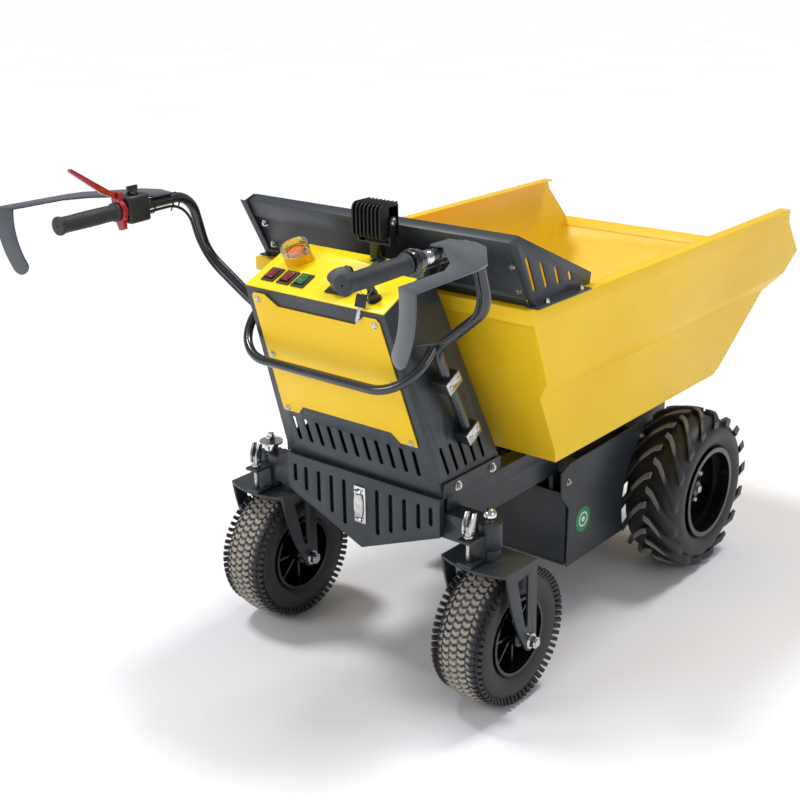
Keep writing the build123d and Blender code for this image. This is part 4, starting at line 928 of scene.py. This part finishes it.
class Keys(bpy.types.Operator):
    """Key in the switch, with a ring and a second key hanging behind the panel"""
    bl_idname = "wheelbarrow.keys"
    bl_label = "Keys"

    def execute(self, context):
        seat = on_panel(*KEY_PLACE)
        plug = turned("plug", [(5, -6), (5, 17.5), (4.4, 18.5), (1, 18.5)], 32, seat)
        bow = rounded_block("bow", (22, 5, 24), 2.2, seat @ shift(0, 0, 18.2), 4)
        key = join("switch_key", [plug, bow])
        stand_for(dress(key, "black_plastic"), "ignition_key")
        top = seat @ Vector((0, 0, 38 * MM))
        hung = Matrix.Rotation(math.radians(35), 4, "Z") @ Matrix.Rotation(math.radians(80), 4, "X")
        ring = turned("key_ring", [(10.4, -0.9), (11.6, -0.9), (11.9, 0), (11.6, 0.9), (10.4, 0.9), (10.1, 0),
                                   (10.4, -0.9)],
                      matrix=Matrix.Translation(top + Vector((-2, -7, -9)) * MM) @ hung, closed=True)
        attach(dress(ring, "bright_chrome"), "root")
        hang = top + Vector((-5, -15, -18)) * MM
        fall = frame_on(hang, (-0.18, -0.10, -1.0), (0.8, 0.6, 0))
        spare_bow = rounded_block("spare_key_bow", (22, 4.6, 27), 2.0, fall, 4)
        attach(dress(spare_bow, "black_plastic"), "root")
        spare = key_blade("spare_key_blade", 34, fall @ shift(0, 0, 26.5))
        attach(dress(spare, "zinc_steel"), "root")
        return {"FINISHED"}


# ---- work light ----
class WorkLight(bpy.types.Operator):
    """Finned work light: ribs down the back and over the top, bezel in front, pivot screws at the sides"""
    bl_idname = "wheelbarrow.work_light"
    bl_label = "Work light"

    def execute(self, context):
        low, high = (Vector(corner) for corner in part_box("lamp_head"))
        ear, rib, ribs, case_depth = 9 * MM, 4 * MM, 8, 36 * MM
        left, right = low.x + ear, high.x - ear
        back, front, foot, top = low.y, high.y, low.z, high.z
        case = rounded_block("case", ((right - left) / MM, case_depth / MM, (top - foot) / MM - 4), 4,
                             Matrix.Translation(((left + right) / 2, front - case_depth / 2, foot)))
        parts = [case]
        for number in range(ribs):
            x = left + (right - left - rib) * number / (ribs - 1) + rib / 2
            fin = block("fin", (rib, front - back - rib, top - foot),
                        (x, (back + front - rib) / 2, (foot + top) / 2))
            edit("EDGE")
            for level, offset, segments in ((top, 14 * MM, 4), (foot, 9 * MM, 3)):
                pick(lambda co, n, z=level: co.y < back + 1 * MM and abs(n.x) > 1 * MM
                     and abs(co.z - z) < 1 * MM, "edges")
                bpy.ops.mesh.bevel(offset=offset, segments=segments, affect="EDGES")
            bpy.ops.object.mode_set(mode="OBJECT")
            parts.append(bevel(fin, 0.8 * MM, 2))
        head = soften(join("work_light_head", parts))
        stand_for(dress(head, "finned_aluminium"), "lamp_head")
        bolts = [
            turned("bolt", [(4, 0), (4, 5.4), (8, 5.4), (8, 6.2), (5.2, 6.4), (5.2, 8.2), (4.4, 9), (0.8, 9)],
                   24, outward((x, -448 * MM, 1037 * MM), side))
            for side, x in ((-1, left), (1, right))]
        screws = join("work_light_screws", bolts)
        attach(dress(screws, "bright_chrome"), body_of(NODES["lamp_head"])[0])
        return {"FINISHED"}


# ---- side marks ----
class SideMarks(bpy.types.Operator):
    """Plain round sticker with a ring and a dot on each side plate"""
    bl_idname = "wheelbarrow.side_marks"
    bl_label = "Side marks"

    def execute(self, context):
        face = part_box("side_plates")[1][0]
        place = outward((face, 64 * MM, 242 * MM))
        disc = turned("side_sticker_right", [(32, -0.2), (32, 0.25), (31.6, 0.35), (0.6, 0.35)], 64, place)
        # Printed vinyl film: flat, even leaf green with a soft sheen.
        green = surface("vinyl_sticker_green", "1E8F4E", "1A8347", 0.4, 30.0, 1.0, 0.03)
        dress(disc, "charcoal_coat", green)
        ring = turned("ring", [(15, 0.3), (19, 0.3), (19, 0.6), (15, 0.6), (15, 0.3)], 64, place, closed=True)
        dot = turned("dot", [(7, 0.3), (7, 0.6), (0.4, 0.6)], 40, place)
        mark = join("side_mark_right", [ring, dot])
        # The same film left white: clean and a little cool.
        white = surface("vinyl_sticker_white", "E9EDEA", "DFE4E0", 0.4, 30.0, 1.0, 0.03)
        dress(mark, "charcoal_coat", white)
        for piece in (disc, mark):
            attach(piece, "root")
            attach(copy_of(piece, piece.name.replace("right", "left"), MIRROR_X), "root")
        return {"FINISHED"}


# ---- stage ----
CAMERA_PLACE = (1.7510, -2.4037, 1.5935)
CAMERA_TURN, CAMERA_TILT, CAMERA_ROLL = 39.91, 20.03, -0.9   # degrees
CAMERA_LENS = 58.82           # millimetres on a 36 mm frame
FLOOR_SIZE = 240              # metres; it reaches past the horizon of every view
LAMP_SPREAD = 13              # degrees across a distant lamp, which softens its shadows
LAMP_STRENGTH = 1.45


def soft_box(name, place, target, size, power):
    """White rectangular studio light aimed at a point."""
    lamp = bpy.data.lights.new(name, "AREA")
    lamp.shape = "RECTANGLE"
    lamp.size, lamp.size_y = size
    lamp.energy = power
    obj = bpy.data.objects.new(name, lamp)
    obj.matrix_world = frame_on(place, Vector(place) - Vector(target), (0, 0, 1))
    bpy.context.scene.collection.objects.link(obj)


def distant_lamp(name, towards):
    """Even light over the whole floor, with soft-edged shadows."""
    lamp = bpy.data.lights.new(name, "SUN")
    lamp.energy = LAMP_STRENGTH
    lamp.angle = math.radians(LAMP_SPREAD)
    obj = bpy.data.objects.new(name, lamp)
    obj.matrix_world = frame_on((0, 0, 4), towards, (0, 1, 0))
    bpy.context.scene.collection.objects.link(obj)


class Stage(bpy.types.Operator):
    """Pale floor, soft boxes and the camera"""
    bl_idname = "wheelbarrow.stage"
    bl_label = "Stage"

    def execute(self, context):
        clear_selection()
        bpy.ops.mesh.primitive_plane_add(size=FLOOR_SIZE, location=(0, 0, 0))
        floor = bpy.context.object
        floor.name = "studio_floor"
        edit("FACE")
        bpy.ops.mesh.select_all(action="SELECT")
        bpy.ops.mesh.subdivide(number_cuts=3)
        bpy.ops.object.mode_set(mode="OBJECT")
        # Painted studio floor: pale, matt, with the faintest unevenness.
        tone = context.scene.wheelbarrow_finishes.floor
        floor.data.materials.append(surface("studio_paint", tone, "F0F0F4", 0.75, 900.0, 8.0, 0.02))
        # Two high lamps behind the machine throw its shadows forward to both sides.
        distant_lamp("lamp_behind_right", (0.14, 0.77, 1.6))
        distant_lamp("lamp_behind_left", (-0.79, -0.14, 1.6))
        middle = (0.0, -0.05, 0.6)
        soft_box("rear_box", (-1.2, -3.6, 2.6), middle, (1.2, 1.6), 45)
        soft_box("side_box", (3.6, -0.4, 2.0), middle, (1.0, 1.8), 18)
        # The air lights the machine dimly, but is seen as bright as the floor.
        world = bpy.data.worlds.new("studio_air")
        context.scene.world = world
        world.use_nodes = True
        air = world.node_tree
        lit = air.nodes["Background"]
        lit.inputs["Color"].default_value = paint("F4F6FB")
        lit.inputs["Strength"].default_value = 0.36
        seen = add_node(air, "ShaderNodeBackground", {"Color": paint("FBFBFD"), "Strength": 1.0})
        ray = add_node(air, "ShaderNodeLightPath")
        choice = add_node(air, "ShaderNodeMixShader", {
            0: ray.outputs["Is Camera Ray"], 1: lit.outputs["Background"], 2: seen.outputs["Background"]})
        air.links.new(choice.outputs["Shader"], air.nodes["World Output"].inputs["Surface"])
        # The standard transform keeps the yellow saturated where it is brightest.
        context.scene.view_settings.view_transform = "Standard"
        turn, tilt, roll = (math.radians(angle) for angle in (CAMERA_TURN, CAMERA_TILT, CAMERA_ROLL))
        right = Vector((math.cos(turn), math.sin(turn), 0))
        ahead = Vector((-math.sin(turn) * math.cos(tilt), math.cos(turn) * math.cos(tilt), -math.sin(tilt)))
        down = ahead.cross(right)
        across = math.cos(roll) * right - math.sin(roll) * down
        below = math.sin(roll) * right + math.cos(roll) * down
        eye = bpy.data.cameras.new("studio_camera")
        eye.lens = CAMERA_LENS
        eye.sensor_width = 36
        camera = bpy.data.objects.new("studio_camera", eye)
        aim = Matrix((across, -below, -ahead)).transposed().to_4x4()
        camera.matrix_world = Matrix.Translation(CAMERA_PLACE) @ aim
        context.scene.collection.objects.link(camera)
        context.scene.camera = camera
        return {"FINISHED"}


# ---- add-on ----
PIECES = (FinishNodes, FoldSheets, InnerSheets, CasterTyres, DriveTyres, WheelNuts, Grips, BrakeCollar,
          CableTies, StopButton, InletLid, Keys, WorkLight, SideMarks, Stage)


class WheelbarrowPanel(bpy.types.Panel):
    """Lists the pieces of the wheelbarrow and their sizes"""
    bl_idname = "VIEW3D_PT_wheelbarrow"
    bl_label = "Power wheelbarrow"
    bl_space_type = "VIEW_3D"
    bl_region_type = "UI"
    bl_category = "Wheelbarrow"

    def draw(self, context):
        for group in (context.scene.wheelbarrow_tyres, context.scene.wheelbarrow_sheets,
                      context.scene.wheelbarrow_finishes):
            for key in group.bl_rna.properties.keys():
                if key not in ("rna_type", "name"):
                    self.layout.prop(group, key)
        for piece in PIECES:
            self.layout.operator(piece.bl_idname)


GROUPS = {"wheelbarrow_tyres": TyreSettings, "wheelbarrow_sheets": SheetSettings,
          "wheelbarrow_finishes": FinishSettings}


def register():
    for cls in (*GROUPS.values(), *PIECES, WheelbarrowPanel):
        bpy.utils.register_class(cls)
    for key, group in GROUPS.items():
        setattr(bpy.types.Scene, key, PointerProperty(type=group))


def unregister():
    for key in GROUPS:
        delattr(bpy.types.Scene, key)
    for cls in reversed((*GROUPS.values(), *PIECES, WheelbarrowPanel)):
        bpy.utils.unregister_class(cls)


def main():
    register()
    for piece in PIECES:
        group, call = piece.bl_idname.split(".")
        getattr(getattr(bpy.ops, group), call)()
    clear_selection()


if __name__ == "__main__":
    main()
